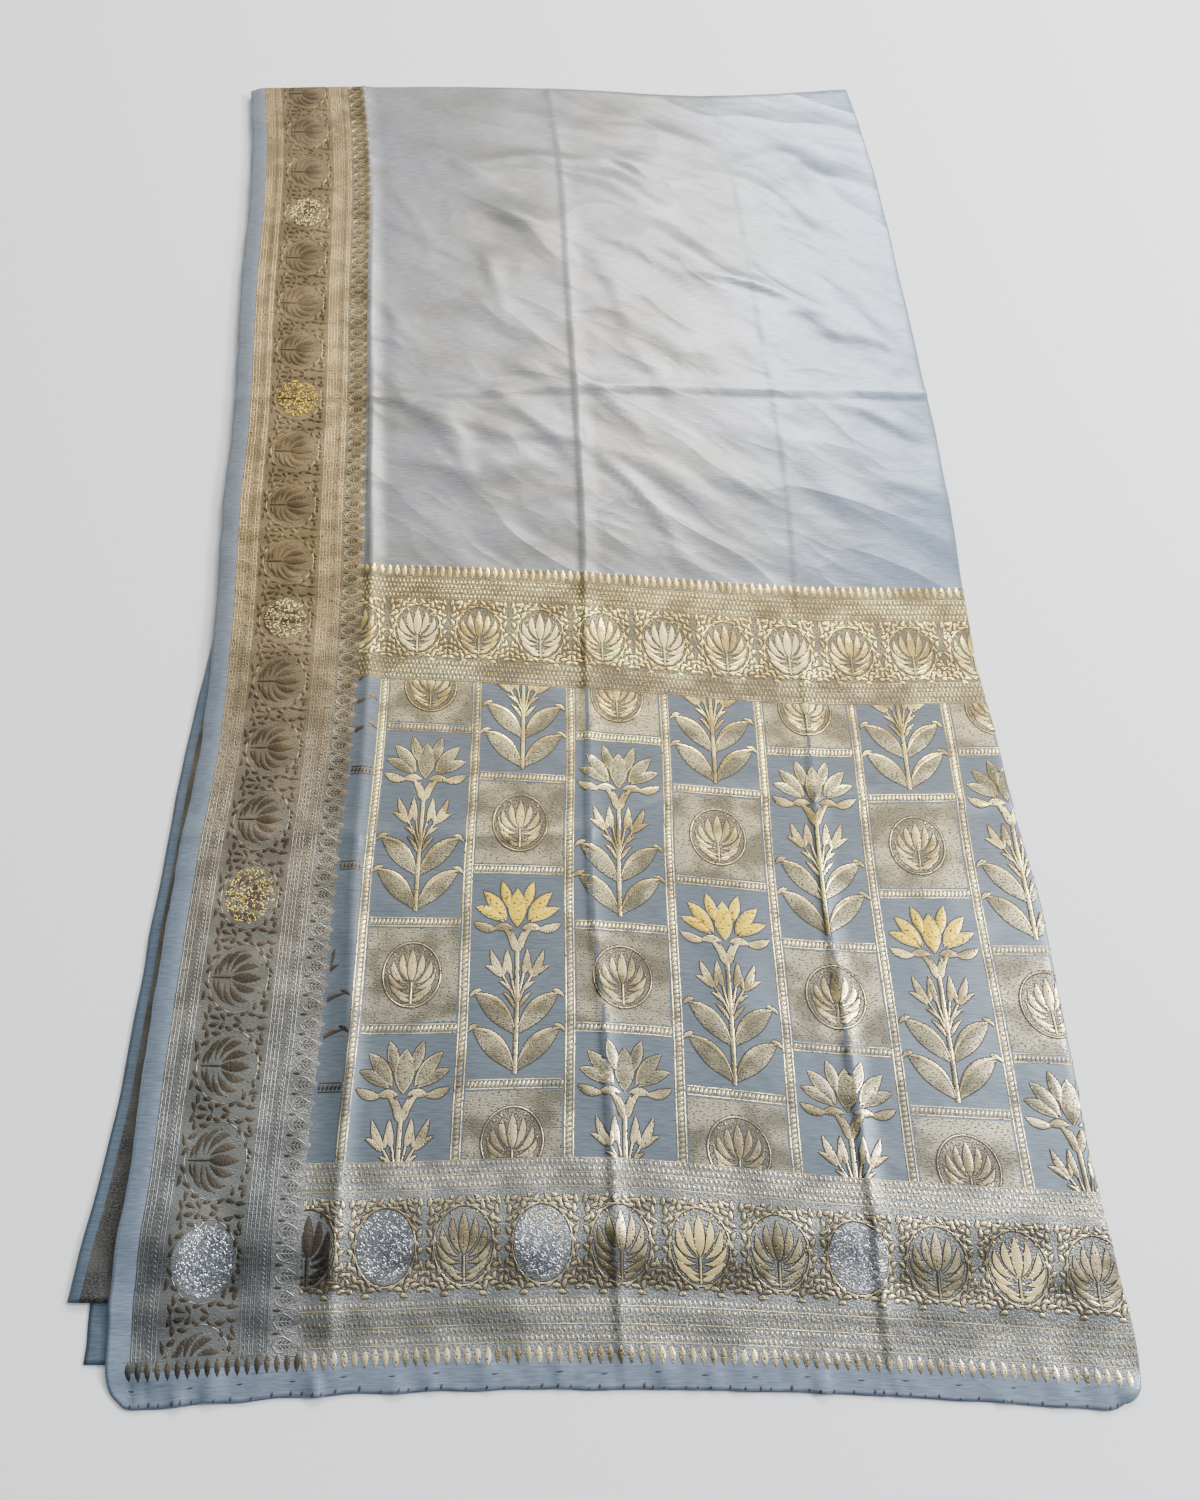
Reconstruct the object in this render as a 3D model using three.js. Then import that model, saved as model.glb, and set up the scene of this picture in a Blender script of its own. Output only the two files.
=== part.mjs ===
// A brocade saree, folded in half along its length and then into lays, flat on a surface.
// Millimetres, +Z up. The near end, with the sewn hem, is towards -Y, and the selvedges lie at -X.
// Cloth places are given as u, the distance from the selvedge across the cloth, and v, the
// distance from the hem along it. A lay's place on the surface is x, across, and s, along.
import * as THREE from 'three';

// Driving sizes
const CENTRE = { x: 1.24, s: 529.98 };  // where the middle of the outline lies, in x and s
const WALL = 1.1;                       // thickness of one lay of cloth
const SEAM_GAP = 0.3;                   // between two stretches of the same cloth
const LAY_GAP = 0.45;                   // between a lay and what it lies on
const BORDER_WIDTH = 109;               // woven border, from the selvedge
const ROPE_U = 130;                     // the first upright rope of the woven grid
const HEM_LENGTH = 13;                  // plain strip at the near end
const PALLU_END = 533;                  // where the woven end piece gives way to the plain field
const FAR_END = 1066;                   // where the cloth turns over at the far end
const FOLD_RADIUS = 2.35;               // outside of the turned edge
const FOLD_TURN = THREE.MathUtils.degToRad(140);
const FOLD_STEPS = 3;
const LAY_PITCH = 1.4;                  // height of each hidden lay, of two thicknesses

// The top lay's outline and the first rope's place, all in x, at places along the cloth.
// spread is how far a millimetre of cloth reaches across, once its small waves are counted.
const OUTLINE = [
  { s: -10, left: -268, rope: -147, right: 290, spread: 1.0 },
  { s: 5, left: -271, rope: -147, right: 296, spread: 1.0 },
  { s: 115, left: -270, rope: -146, right: 296.5, spread: 1.0 },
  { s: 200, left: -267, rope: -140, right: 298, spread: 0.99 },
  { s: 300, left: -261, rope: -135, right: 300, spread: 0.98 },
  { s: 390, left: -253, rope: -129, right: 296.5, spread: 0.975 },
  { s: 470, left: -251.5, rope: -126, right: 294, spread: 0.97 },
  { s: 600, left: -254, rope: -126, right: 300, spread: 0.98 },
  { s: 675, left: -253, rope: -127, right: 301, spread: 0.985 },
  { s: 790, left: -257, rope: -129, right: 301, spread: 0.99 },
  { s: 985, left: -260, rope: -134, right: 297.5, spread: 1.0 },
  { s: 1066, left: -267, rope: -141, right: 291, spread: 1.0 },
];

// How far the weft lies ahead of square, at five places across.
const WEFT_U = { selvedge: 0, rope: 130, middle: 290, third: 430, fold: 570 };
const WEFT = [
  { v: 0, selvedge: -9, rope: -1, middle: 2, third: -1, fold: -9 },
  { v: 120, selvedge: 0, rope: -1, middle: 2, third: -9, fold: -17 },
  { v: 435, selvedge: 6, rope: 5, middle: -4, third: -15, fold: -14 },
  { v: 533, selvedge: 3, rope: 2, middle: -5, third: -16, fold: -18 },
  { v: 800, selvedge: 0, rope: 0, middle: -1, third: -10, fold: -12 },
  { v: 1066, selvedge: 1, rope: 3, middle: 0, third: -10, fold: 0 },
];

// Sharp folds left by storage: where each runs, and how high it stands.
const LENGTHWISE = [
  { v: 0, border: 128, border_high: 3.2, middle: 291, middle_high: 2.8, outer: 440, outer_high: 3.2 },
  { v: 150, border: 130, border_high: 3.0, middle: 288, middle_high: 2.6, outer: 437, outer_high: 2.8 },
  { v: 280, border: 122, border_high: 2.8, middle: 279, middle_high: 2.4, outer: 432, outer_high: 2.2 },
  { v: 430, border: 118, border_high: 2.8, middle: 276, middle_high: 2.4, outer: 432, outer_high: 1.8 },
  { v: 600, border: 114, border_high: 2.4, middle: 279, middle_high: 2.2, outer: 440, outer_high: 1.6 },
  { v: 800, border: 111, border_high: 1.8, middle: 280, middle_high: 2.0, outer: 438, outer_high: 1.5 },
  { v: 1066, border: 108, border_high: 1.2, middle: 282, middle_high: 1.6, outer: 433, outer_high: 1.2 },
];
const STEEP_SIDE = 4.5;
const GENTLE_SIDE = 15;
const CROSSWISE_U = { rope: 125, middle: 285, inner: 345, third: 430, fold: 570 };
const CROSSWISE = [
  { name: 'pallu', rope: 317, middle: 330, inner: 357, third: 363, fold: 360 },
  { name: 'field', rope: 694, middle: 706, inner: 710, third: 713, fold: 712 },
];
const CROSSWISE_HIGH = 1.2;
const CROSSWISE_SIDE = 12;

// Soft wrinkles: middle, turn from across, length, width and height of each.
const WRINKLES = [
  { u: 190, v: 965, turn: -38, long: 60, wide: 12, high: 2.2 },
  { u: 232, v: 905, turn: -42, long: 70, wide: 14, high: 2.4 },
  { u: 330, v: 940, turn: -33, long: 62, wide: 13, high: 2.0 },
  { u: 372, v: 872, turn: -40, long: 66, wide: 14, high: 2.2 },
  { u: 500, v: 955, turn: -62, long: 52, wide: 12, high: 1.8 },
  { u: 205, v: 790, turn: -25, long: 64, wide: 15, high: 1.6 },
  { u: 345, v: 772, turn: -30, long: 72, wide: 15, high: 1.7 },
  { u: 500, v: 820, turn: -55, long: 66, wide: 15, high: 1.7 },
  { u: 190, v: 625, turn: 14, long: 58, wide: 17, high: 1.8 },
  { u: 480, v: 620, turn: -58, long: 62, wide: 16, high: 1.5 },
  { u: 52, v: 880, turn: 8, long: 36, wide: 18, high: 1.4 },
  { u: 50, v: 455, turn: -6, long: 36, wide: 20, high: 1.5 },
  { u: 58, v: 220, turn: 10, long: 36, wide: 22, high: 1.5 },
  { u: 205, v: 180, turn: 80, long: 60, wide: 20, high: 1.2 },
  { u: 520, v: 66, turn: 24, long: 44, wide: 14, high: 2.6 },
  { u: 370, v: 250, turn: 84, long: 76, wide: 22, high: 1.2 },
];

// The lays below. Insets are measured inwards from the top lay's own edges.
const HIDDEN_LAYS = [
  { name: 'bottom', left: 3, near: 62, right: 3.5, far: 3 },
  { name: 'fourth', left: 6, near: 70, right: 2.5, far: 5 },
  { name: 'third', left: 10, near: 78, right: 4.5, far: 3 },
  { name: 'under_second', left: 14, near: 86, right: 5.5, far: 6 },
  { name: 'beside_second', left: 66, near: 100, right: 6.5, far: 7 },
];
const LAYS_UNDER_SECOND = 4;
const SECOND_LAY_EDGE = [
  { s: 45, left: -298.5 },
  { s: 126, left: -285.5 },
  { s: 266, left: -274 },
  { s: 409, left: -261.5 },
  { s: 489, left: -251 },
  { s: 620, left: -250.5 },
  { s: 1060, left: -263 },
];
const SECOND_LAY = { near: 45, far: 1058, inner: 62 };
const THIRD_LAY = { near: 14, far: 58, left: -285, inner: 28 };

// Colours of the cloth
const SILK = { color: 0xc4c4c8, roughness: 0.42, metalness: 0.05 };
const BORDER_GOLD = { color: 0xa8926e, roughness: 0.45, metalness: 0.35 };
const PALLU_GOLD = { color: 0x9fa08f, roughness: 0.45, metalness: 0.3 };
const PLAIN_BLUE = { color: 0x7b93af, roughness: 0.45, metalness: 0.05 };
const LOWER_LAY = { color: 0x6f88a5, roughness: 0.5, metalness: 0.05 };

// Reading the tables

function smooth(from, to, at) {
  return THREE.MathUtils.smoothstep(at, from, to);
}

function bump(distance, side) {
  const near = Math.max(0, 1 - Math.abs(distance) / side);
  return near * near * (3 - 2 * near);
}

// A column of a table at any place along it, eased between rows.
function along(table, key, column, at) {
  const last = table.length - 1;
  if (at <= table[0][key]) return table[0][column];
  if (at >= table[last][key]) return table[last][column];
  const row = table.findIndex((entry) => entry[key] > at);
  const [a, b] = [table[row - 1], table[row]];
  const part = (at - a[key]) / (b[key] - a[key]);
  return THREE.MathUtils.lerp(a[column], b[column], part);
}

// A row whose values stand at named places across, at any place across.
function across(places, row, at) {
  const names = Object.keys(places);
  const table = names.map((name) => ({ u: places[name], value: row[name] }));
  return along(table, 'u', 'value', at);
}

function weftShift(u, v) {
  const row = {};
  for (const name of Object.keys(WEFT_U)) row[name] = along(WEFT, 'v', name, v);
  return across(WEFT_U, row, u);
}

function foldU(s) {
  const rope = along(OUTLINE, 's', 'rope', s);
  return ROPE_U + (along(OUTLINE, 's', 'right', s) - FOLD_RADIUS - rope) / along(OUTLINE, 's', 'spread', s);
}

function placeX(u, s) {
  const left = along(OUTLINE, 's', 'left', s);
  const rope = along(OUTLINE, 's', 'rope', s);
  if (u < ROPE_U) return THREE.MathUtils.lerp(left, rope, u / ROPE_U);
  return rope + (u - ROPE_U) * along(OUTLINE, 's', 'spread', s);
}

// Heights

const UNDER_SECOND = LAYS_UNDER_SECOND * LAY_PITCH;
const HIDDEN_TOP = HIDDEN_LAYS.length * LAY_PITCH;
const STEP_UP = WALL + LAY_GAP;

// The stepped side and end of the hidden lays, eased into one slope that clears them.
function overHidden(inset, s) {
  return (UNDER_SECOND + LAY_GAP) * smooth(-13, 13, inset) * smooth(46, 84, s);
}

function overThirdLay(inset, s) {
  const corner = smooth(-30, -17, inset) * (1 - smooth(THIRD_LAY.inner, THIRD_LAY.inner + 40, inset));
  return STEP_UP * corner * smooth(0, 11, s) * (1 - smooth(64, 120, s));
}

function overSecondLay(s) {
  return STEP_UP * smooth(29, 43, s);
}

function creases(u, v) {
  let high = 0;
  for (const name of ['border', 'middle', 'outer']) {
    const off = u - along(LENGTHWISE, 'v', name, v);
    high += along(LENGTHWISE, 'v', `${name}_high`, v) * bump(off, off < 0 ? STEEP_SIDE : GENTLE_SIDE);
  }
  for (const row of CROSSWISE) {
    high += CROSSWISE_HIGH * bump(v - across(CROSSWISE_U, row, u), CROSSWISE_SIDE);
  }
  return high;
}

function wrinkles(u, v) {
  let high = 0;
  for (const row of WRINKLES) {
    const turn = THREE.MathUtils.degToRad(row.turn);
    const lengthways = (u - row.u) * Math.cos(turn) + (v - row.v) * Math.sin(turn);
    const sideways = (v - row.v) * Math.cos(turn) - (u - row.u) * Math.sin(turn);
    high += row.high * bump(lengthways, row.long * 1.4) * bump(sideways, row.wide * 1.6);
  }
  return high;
}

// The top of the top lay, before its edges turn down.
function topHeight(u, v, x, s) {
  const inset = x - along(OUTLINE, 's', 'left', s);
  const lays = overHidden(inset, s) + overThirdLay(inset, s) + overSecondLay(s);
  const relief = (creases(u, v) + wrinkles(u, v)) * smooth(-10, 50, v);
  return WALL + lays + relief;
}

// A point of the top lay. past_right and past_far go from 0 to 1 round the turned edges.
function topPoint(u, v, pastRight, pastFar) {
  const s = v + weftShift(u, v);
  const x = placeX(u, s);
  const high = topHeight(u, v, x, s);
  const past = Math.max(pastRight, pastFar);
  if (past === 0) return new THREE.Vector3(x, s, high);
  const way = new THREE.Vector2(pastRight, pastFar).normalize();
  const flatter = 0.55 + 0.45 * smooth(20, 66, s);
  const drop = Math.min(FOLD_RADIUS, (high - WALL) / 2.2);
  const turn = past * FOLD_TURN * flatter;
  const out = FOLD_RADIUS * Math.sin(turn);
  return new THREE.Vector3(x + out * way.x, s + out * way.y, high - drop * (1 - Math.cos(turn)));
}

// Which way the top lay faces where it isn't turned down, the same on both sides of a seam.
function topNormal(u, v) {
  const near = 0.4;
  const alongU = topPoint(u + near, v, 0, 0).sub(topPoint(u - near, v, 0, 0));
  const alongV = topPoint(u, v + near, 0, 0).sub(topPoint(u, v - near, 0, 0));
  return alongU.cross(alongV).normalize();
}

// Solids from grids of points

// A wall below a grid of outer points. grid[j][i] runs along +X in i and along +Y in j. normals
// may give the way that each point faces, and the grid's own slope serves where it doesn't.
function wallFromGrid(grid, normals) {
  const [rows, columns] = [grid.length, grid[0].length];
  const points = [];
  for (const line of grid) for (const point of line) points.push(point);
  const at = (i, j) => points[j * columns + i];
  const inner = [];
  for (let j = 0; j < rows; j += 1) {
    for (let i = 0; i < columns; i += 1) {
      const [i0, i1] = [Math.max(0, i - 1), Math.min(columns - 1, i + 1)];
      const [j0, j1] = [Math.max(0, j - 1), Math.min(rows - 1, j + 1)];
      const alongI = at(i1, j).clone().sub(at(i0, j));
      const alongJ = at(i, j1).clone().sub(at(i, j0));
      const normal = normals?.[j][i] ?? alongI.cross(alongJ).normalize();
      inner.push(at(i, j).clone().addScaledVector(normal, -WALL));
    }
  }
  for (const point of inner) point.z = Math.max(0, point.z);
  const count = points.length;
  const faces = [];
  for (let j = 0; j < rows - 1; j += 1) {
    for (let i = 0; i < columns - 1; i += 1) {
      const [a, b] = [j * columns + i, j * columns + i + 1];
      const [c, d] = [b + columns, a + columns];
      faces.push([a, b, c], [a, c, d]);
      faces.push([a + count, c + count, b + count], [a + count, d + count, c + count]);
    }
  }
  const rim = [];
  for (let i = 0; i < columns - 1; i += 1) rim.push([i, i + 1]);
  for (let j = 0; j < rows - 1; j += 1) rim.push([j * columns + columns - 1, (j + 1) * columns + columns - 1]);
  for (let i = columns - 1; i > 0; i -= 1) rim.push([(rows - 1) * columns + i, (rows - 1) * columns + i - 1]);
  for (let j = rows - 1; j > 0; j -= 1) rim.push([j * columns, (j - 1) * columns]);
  for (const [a, b] of rim) faces.push([b, a, a + count], [b, a + count, b + count]);
  return solidOf([...points, ...inner], faces);
}

function solidOf(points, faces) {
  const geometry = new THREE.BufferGeometry();
  const numbers = points.flatMap((point) => [point.x - CENTRE.x, point.y - CENTRE.s, point.z]);
  geometry.setAttribute('position', new THREE.Float32BufferAttribute(numbers, 3));
  geometry.setIndex(faces.flat());
  geometry.computeVertexNormals();
  return geometry;
}

// The places from one value to another in even steps, without the last.
function steps(from, to, count) {
  return Array.from({ length: count }, (_, k) => from + (to - from) * (k / count));
}

// Columns of the top lay

const BORDER_COLUMNS = [0, 4.5, 9, 14, 24, 42, 62, 82, 98, BORDER_WIDTH - SEAM_GAP / 2];
const BESIDE_BORDER = [BORDER_WIDTH + SEAM_GAP / 2, 114, 119, 124, 130, 137, 146];
const SHOULDERS = { before: 14, foot: 4.5, top: 0, after: 8, end: 18 };

function borderColumns() {
  return BORDER_COLUMNS.map((u) => ({ u, past: 0 }));
}

// Columns from the border to the turned right edge, set close where a sharp fold runs.
function bodyColumns(v) {
  const middle = along(LENGTHWISE, 'v', 'middle', v);
  const outer = along(LENGTHWISE, 'v', 'outer', v);
  const edge = foldU(v);
  const roundCrease = (u) => [
    u - SHOULDERS.before, u - SHOULDERS.foot, u + SHOULDERS.top, u + SHOULDERS.after, u + SHOULDERS.end,
  ];
  const last = BESIDE_BORDER[BESIDE_BORDER.length - 1];
  const flat = [
    ...BESIDE_BORDER,
    ...steps(last, middle - SHOULDERS.before, 4).slice(1),
    ...roundCrease(middle),
    ...steps(middle + SHOULDERS.end, outer - SHOULDERS.before, 4).slice(1),
    ...roundCrease(outer),
    ...steps(outer + SHOULDERS.end, edge - SHOULDERS.before, 3).slice(1),
    edge - SHOULDERS.before,
    edge,
  ].map((u) => ({ u, past: 0 }));
  const turned = steps(0, 1, FOLD_STEPS).slice(1).concat([1]).map((past) => ({ u: edge, past }));
  return [...flat, ...turned];
}

// Rows of the top lay, set close where a crosswise fold runs.
function rowsBetween(from, to, crease, u, before, after) {
  const middle = across(CROSSWISE_U, crease, u);
  return [
    ...steps(from, middle - CROSSWISE_SIDE, before),
    middle - CROSSWISE_SIDE,
    middle,
    ...steps(middle + CROSSWISE_SIDE, to, after),
    to,
  ];
}

// Rows where the cloth climbs from the surface onto the lays below it.
const CLIMB_ROWS = [HEM_LENGTH + SEAM_GAP / 2, 21, 29, 37, 44, 51, 58, 65, 72, 80, 90];
const CLIMB_END = 104;

function palluRows(u) {
  const flat = rowsBetween(CLIMB_END, PALLU_END - SEAM_GAP / 2, CROSSWISE[0], u, 7, 6);
  return [...CLIMB_ROWS, ...flat].map((v) => ({ v, past: 0 }));
}

function fieldRows(u) {
  const flat = rowsBetween(PALLU_END + SEAM_GAP / 2, FAR_END - FOLD_RADIUS, CROSSWISE[1], u, 5, 10);
  const turned = steps(0, 1, FOLD_STEPS).slice(1).concat([1]).map((past) => ({ v: FAR_END - FOLD_RADIUS, past }));
  return [...flat.map((v) => ({ v, past: 0 })), ...turned];
}

function stretch(columnsAt, rowsAt) {
  const nominal = columnsAt(PALLU_END);
  const perColumn = nominal.map((column) => rowsAt(column.u));
  const places = perColumn[0].map((_, j) => nominal.map((_, i) => {
    const row = perColumn[i][j];
    const column = columnsAt(row.v)[i];
    return { u: column.u, v: row.v, pastRight: column.past, pastFar: row.past };
  }));
  const grid = places.map((line) => line.map((at) => topPoint(at.u, at.v, at.pastRight, at.pastFar)));
  const normals = places.map((line) => line.map((at) => (
    at.pastRight + at.pastFar > 0 ? null : topNormal(at.u, at.v)
  )));
  return wallFromGrid(grid, normals);
}

function hemColumns(v) {
  return [...borderColumns().slice(0, -1), ...bodyColumns(v)];
}

function hemRows() {
  return [0, HEM_LENGTH / 2, HEM_LENGTH - SEAM_GAP / 2].map((v) => ({ v, past: 0 }));
}

// The lays below

// The second lay shows along the left. It runs in under the top lay and up onto the hidden lays.
function secondLaySolid() {
  const rows = [
    ...steps(SECOND_LAY.near, CLIMB_END, 9), ...steps(CLIMB_END, SECOND_LAY.far, 22), SECOND_LAY.far,
  ];
  const grid = rows.map((s) => {
    const left = along(SECOND_LAY_EDGE, 's', 'left', s);
    const top = along(OUTLINE, 's', 'left', s);
    const foot = Math.max(left - top, -18);
    const insets = [left - top, ...steps(foot + 3, 14, 6), 14, 30, SECOND_LAY.inner];
    return insets.map((inset) => {
      const high = WALL + overHidden(inset, s) + overThirdLay(inset, s);
      return new THREE.Vector3(top + inset, s, high);
    });
  });
  return wallFromGrid(grid);
}

function thirdLaySolid() {
  const inner = along(OUTLINE, 's', 'left', THIRD_LAY.near) + THIRD_LAY.inner;
  const rows = [THIRD_LAY.near, (THIRD_LAY.near + THIRD_LAY.far) / 2, THIRD_LAY.far];
  const grid = rows.map((s) => [...steps(THIRD_LAY.left, inner, 4), inner].map((x) => new THREE.Vector3(x, s, WALL)));
  return wallFromGrid(grid);
}

// One closed ring of the hidden lays, at its own insets, from the near left corner anticlockwise.
function hiddenRing(lay, tuckedIn, z) {
  const far = FAR_END - lay.far - tuckedIn;
  const near = lay.near + tuckedIn;
  const sides = 14;
  const ends = 7;
  const edge = (s, side) => {
    const inset = side === 'left' ? lay.left + tuckedIn : -(lay.right + FOLD_RADIUS + tuckedIn);
    return along(OUTLINE, 's', side, s) + inset;
  };
  const farShift = (x) => weftShift(x - along(OUTLINE, 's', 'left', FAR_END), FAR_END);
  const ring = [];
  for (const part of steps(0, 1, ends)) {
    ring.push([THREE.MathUtils.lerp(edge(near, 'left'), edge(near, 'right'), part), near]);
  }
  for (const s of steps(near, far, sides)) ring.push([edge(s, 'right'), s]);
  for (const part of steps(0, 1, ends)) {
    const x = THREE.MathUtils.lerp(edge(far, 'right'), edge(far, 'left'), part);
    ring.push([x, far + Math.min(0, farShift(x))]);
  }
  for (const s of steps(far, near, sides)) ring.push([edge(s, 'left'), s]);
  return ring.map(([x, s]) => new THREE.Vector3(x, s, z));
}

// All the hidden lays as one body: each lay's edge bulges, with a groove between it and the next.
function hiddenLaysSolid() {
  const rounds = [
    { part: 0.12, tucked: 1.3 },
    { part: 0.5, tucked: 0 },
    { part: 0.88, tucked: 1.3 },
  ];
  const rings = [hiddenRing(HIDDEN_LAYS[0], 1.6, 0)];
  HIDDEN_LAYS.forEach((lay, k) => {
    for (const { part, tucked } of rounds) rings.push(hiddenRing(lay, tucked, (k + part) * LAY_PITCH));
  });
  const top = HIDDEN_LAYS[HIDDEN_LAYS.length - 1];
  rings.push(hiddenRing(top, 4, HIDDEN_TOP));
  const count = rings[0].length;
  const points = rings.flat();
  const faces = [];
  for (let k = 0; k < rings.length - 1; k += 1) {
    for (let i = 0; i < count; i += 1) {
      const [a, b] = [k * count + i, k * count + (i + 1) % count];
      faces.push([a, b, b + count], [a, b + count, a + count]);
    }
  }
  const lid = (start, z, up) => {
    const hub = points.length;
    points.push(new THREE.Vector3(CENTRE.x, CENTRE.s, z));
    for (let i = 0; i < count; i += 1) {
      const [a, b] = [start + i, start + (i + 1) % count];
      faces.push(up ? [a, b, hub] : [b, a, hub]);
    }
  };
  lid(0, 0, false);
  lid((rings.length - 1) * count, HIDDEN_TOP, true);
  return solidOf(points, faces);
}

// The part

const group = new THREE.Group();

function add(name, geometry, look) {
  const mesh = new THREE.Mesh(geometry, new THREE.MeshStandardMaterial(look));
  mesh.name = name;
  group.add(mesh);
}

add('hidden_lays', hiddenLaysSolid(), LOWER_LAY);
add('third_lay', thirdLaySolid(), LOWER_LAY);
add('second_lay', secondLaySolid(), LOWER_LAY);
add('border_pallu_stretch', stretch(borderColumns, palluRows), BORDER_GOLD);
add('border_field_stretch', stretch(borderColumns, fieldRows), BORDER_GOLD);
add('pallu_stretch', stretch(bodyColumns, palluRows), PALLU_GOLD);
add('field_stretch', stretch(bodyColumns, fieldRows), SILK);
add('end_hem', stretch(hemColumns, hemRows), PLAIN_BLUE);

export default group;
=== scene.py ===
# %% [markdown]
# # A folded brocade saree
# The saree is one loom length of silk: a plain field, a border woven along each selvedge and a
# rich end piece, the pallu. It lies folded in half along its length and then into lays. The packed
# model gives the lays as plain solids. This notebook gives them their cloth: the real drape, the
# woven gold, the silver and the hand-sewn hem.

# %% Frame and libraries
import math
import random
import bmesh
import bpy
import numpy as np
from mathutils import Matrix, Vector, noise


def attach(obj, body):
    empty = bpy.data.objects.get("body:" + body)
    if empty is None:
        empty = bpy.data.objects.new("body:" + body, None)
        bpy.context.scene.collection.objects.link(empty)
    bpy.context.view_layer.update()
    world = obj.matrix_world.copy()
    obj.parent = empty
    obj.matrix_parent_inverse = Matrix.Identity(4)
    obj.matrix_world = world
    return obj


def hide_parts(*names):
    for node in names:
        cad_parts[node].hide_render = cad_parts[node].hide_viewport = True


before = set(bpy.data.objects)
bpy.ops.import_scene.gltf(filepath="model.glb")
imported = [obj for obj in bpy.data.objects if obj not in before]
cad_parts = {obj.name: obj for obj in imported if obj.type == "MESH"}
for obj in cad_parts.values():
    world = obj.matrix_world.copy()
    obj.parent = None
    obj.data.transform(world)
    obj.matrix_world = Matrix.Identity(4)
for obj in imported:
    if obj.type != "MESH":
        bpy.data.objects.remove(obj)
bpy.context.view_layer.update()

# %% [markdown]
# ## Places on the cloth
# A weaver thinks in two numbers: how far across from the selvedge, here u, and how far along from
# the hem, here v. The cloth lies a little askew, so tables say where its edges and its weft run.
# Working everything out from u and v means that a fold, a motif and a stitch all agree.

# %% Sizes of the cloth, in millimetres
MM = 0.001
# The middle of the folded cloth: the frame's origin, in x and s.
CENTRE = (1.24, 529.98)
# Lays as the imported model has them: their wall, the gap under each, and the pitch of the stack.
WALL = 1.1
LAY_GAP = 0.45
LAY_PITCH = 1.4
LAYS_UNDER_SECOND = 4
# The wall of the cloth drawn here.
CLOTH_WALL = 0.5
BORDER_WIDTH = 109.0
ROPE_U = 130.0
HEM_LENGTH = 13.0
PALLU_END = 533.0
FAR_END = 1066.0
FOLD_RADIUS = 2.35
FOLD_TURN = math.radians(140)
CORNER_RADIUS = 15.0
# Further than the cloth reaches, across or along.
BEYOND = 2000.0


def table_of(names, *values):
    """A table: each row is a dict with the given column names."""
    return [dict(zip(names.split(), row)) for row in values]


# Where the top lay's selvedge, first rope and right fold lie, by the distance s up the floor.
OUTLINE = table_of(
    "s left rope right spread",
    (-10, -268, -147, 290, 1.0), (5, -271, -147, 296, 1.0),
    (115, -270, -146, 296.5, 1.0), (200, -267, -140, 298, 0.99),
    (300, -261, -135, 300, 0.98), (390, -253, -129, 296.5, 0.975),
    (470, -251.5, -126, 294, 0.97), (600, -254, -126, 300, 0.98),
    (675, -253, -127, 301, 0.985), (790, -257, -129, 301, 0.99),
    (985, -260, -134, 297.5, 1.0), (1066, -267, -141, 291, 1.0))
# How far each weft thread strays up or down the floor, at five places across.
WEFT_U = dict(selvedge=0, rope=130, middle=290, third=430, fold=570)
WEFT = table_of(
    "v selvedge rope middle third fold",
    (0, -9, -1, 2, -1, -9), (120, 0, -1, 2, -9, -17),
    (435, 6, 5, -4, -15, -14), (533, 3, 2, -5, -16, -18),
    (800, 0, 0, -1, -10, -12), (1066, 1, 3, 0, -10, 0))
# The three lengthwise creases: where in u, and how high.
LENGTHWISE = table_of(
    "v border border_high middle middle_high outer outer_high",
    (0, 128, 3.2, 291, 2.8, 440, 3.2), (150, 130, 3.0, 288, 2.6, 437, 2.8),
    (280, 122, 2.8, 279, 2.4, 432, 2.2), (430, 118, 2.8, 276, 2.4, 432, 1.8),
    (600, 114, 2.4, 279, 2.2, 440, 0.9), (800, 111, 1.8, 280, 1.1, 438, 0.5),
    (1066, 108, 1.2, 282, 0.5, 433, 0.4))
# The two crosswise creases: where in v, at five places across.
CROSSWISE_U = dict(rope=125, middle=285, inner=345, third=430, fold=570)
CROSSWISE = table_of(
    "rope middle inner third fold",
    (317, 330, 357, 363, 360), (694, 706, 710, 713, 712))
# Soft wrinkles: place, turn in degrees, half length, half width and height.
WRINKLES = table_of(
    "u v turn long wide high",
    (190, 965, -38, 60, 12, 2.2), (232, 905, -42, 70, 14, 2.4),
    (330, 940, -33, 62, 13, 2.0), (372, 872, -40, 66, 14, 2.2),
    (500, 955, -62, 52, 12, 1.8), (205, 790, -25, 64, 15, 1.6),
    (345, 772, -30, 72, 15, 1.7), (500, 820, -55, 66, 15, 1.7),
    (190, 625, 14, 58, 17, 1.8), (480, 620, -58, 62, 16, 1.5),
    (52, 880, 8, 36, 18, 1.4), (50, 455, -6, 36, 20, 1.5),
    (58, 220, 10, 36, 22, 1.5), (205, 180, 80, 60, 20, 1.2),
    (520, 66, 24, 44, 14, 2.6), (370, 250, 84, 76, 22, 1.2))
# The selvedge of the second lay.
SECOND_EDGE = table_of(
    "s left",
    (45, -298.5), (126, -285.5), (266, -274), (409, -261.5), (489, -251), (620, -250.5), (1060, -263))


# %% [markdown]
# ## Reading the tables
# Between two rows of a table the cloth runs in a smooth curve. A cubic through the rows, with
# slopes taken from their neighbours, gives that curve for thousands of points in one go.

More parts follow.
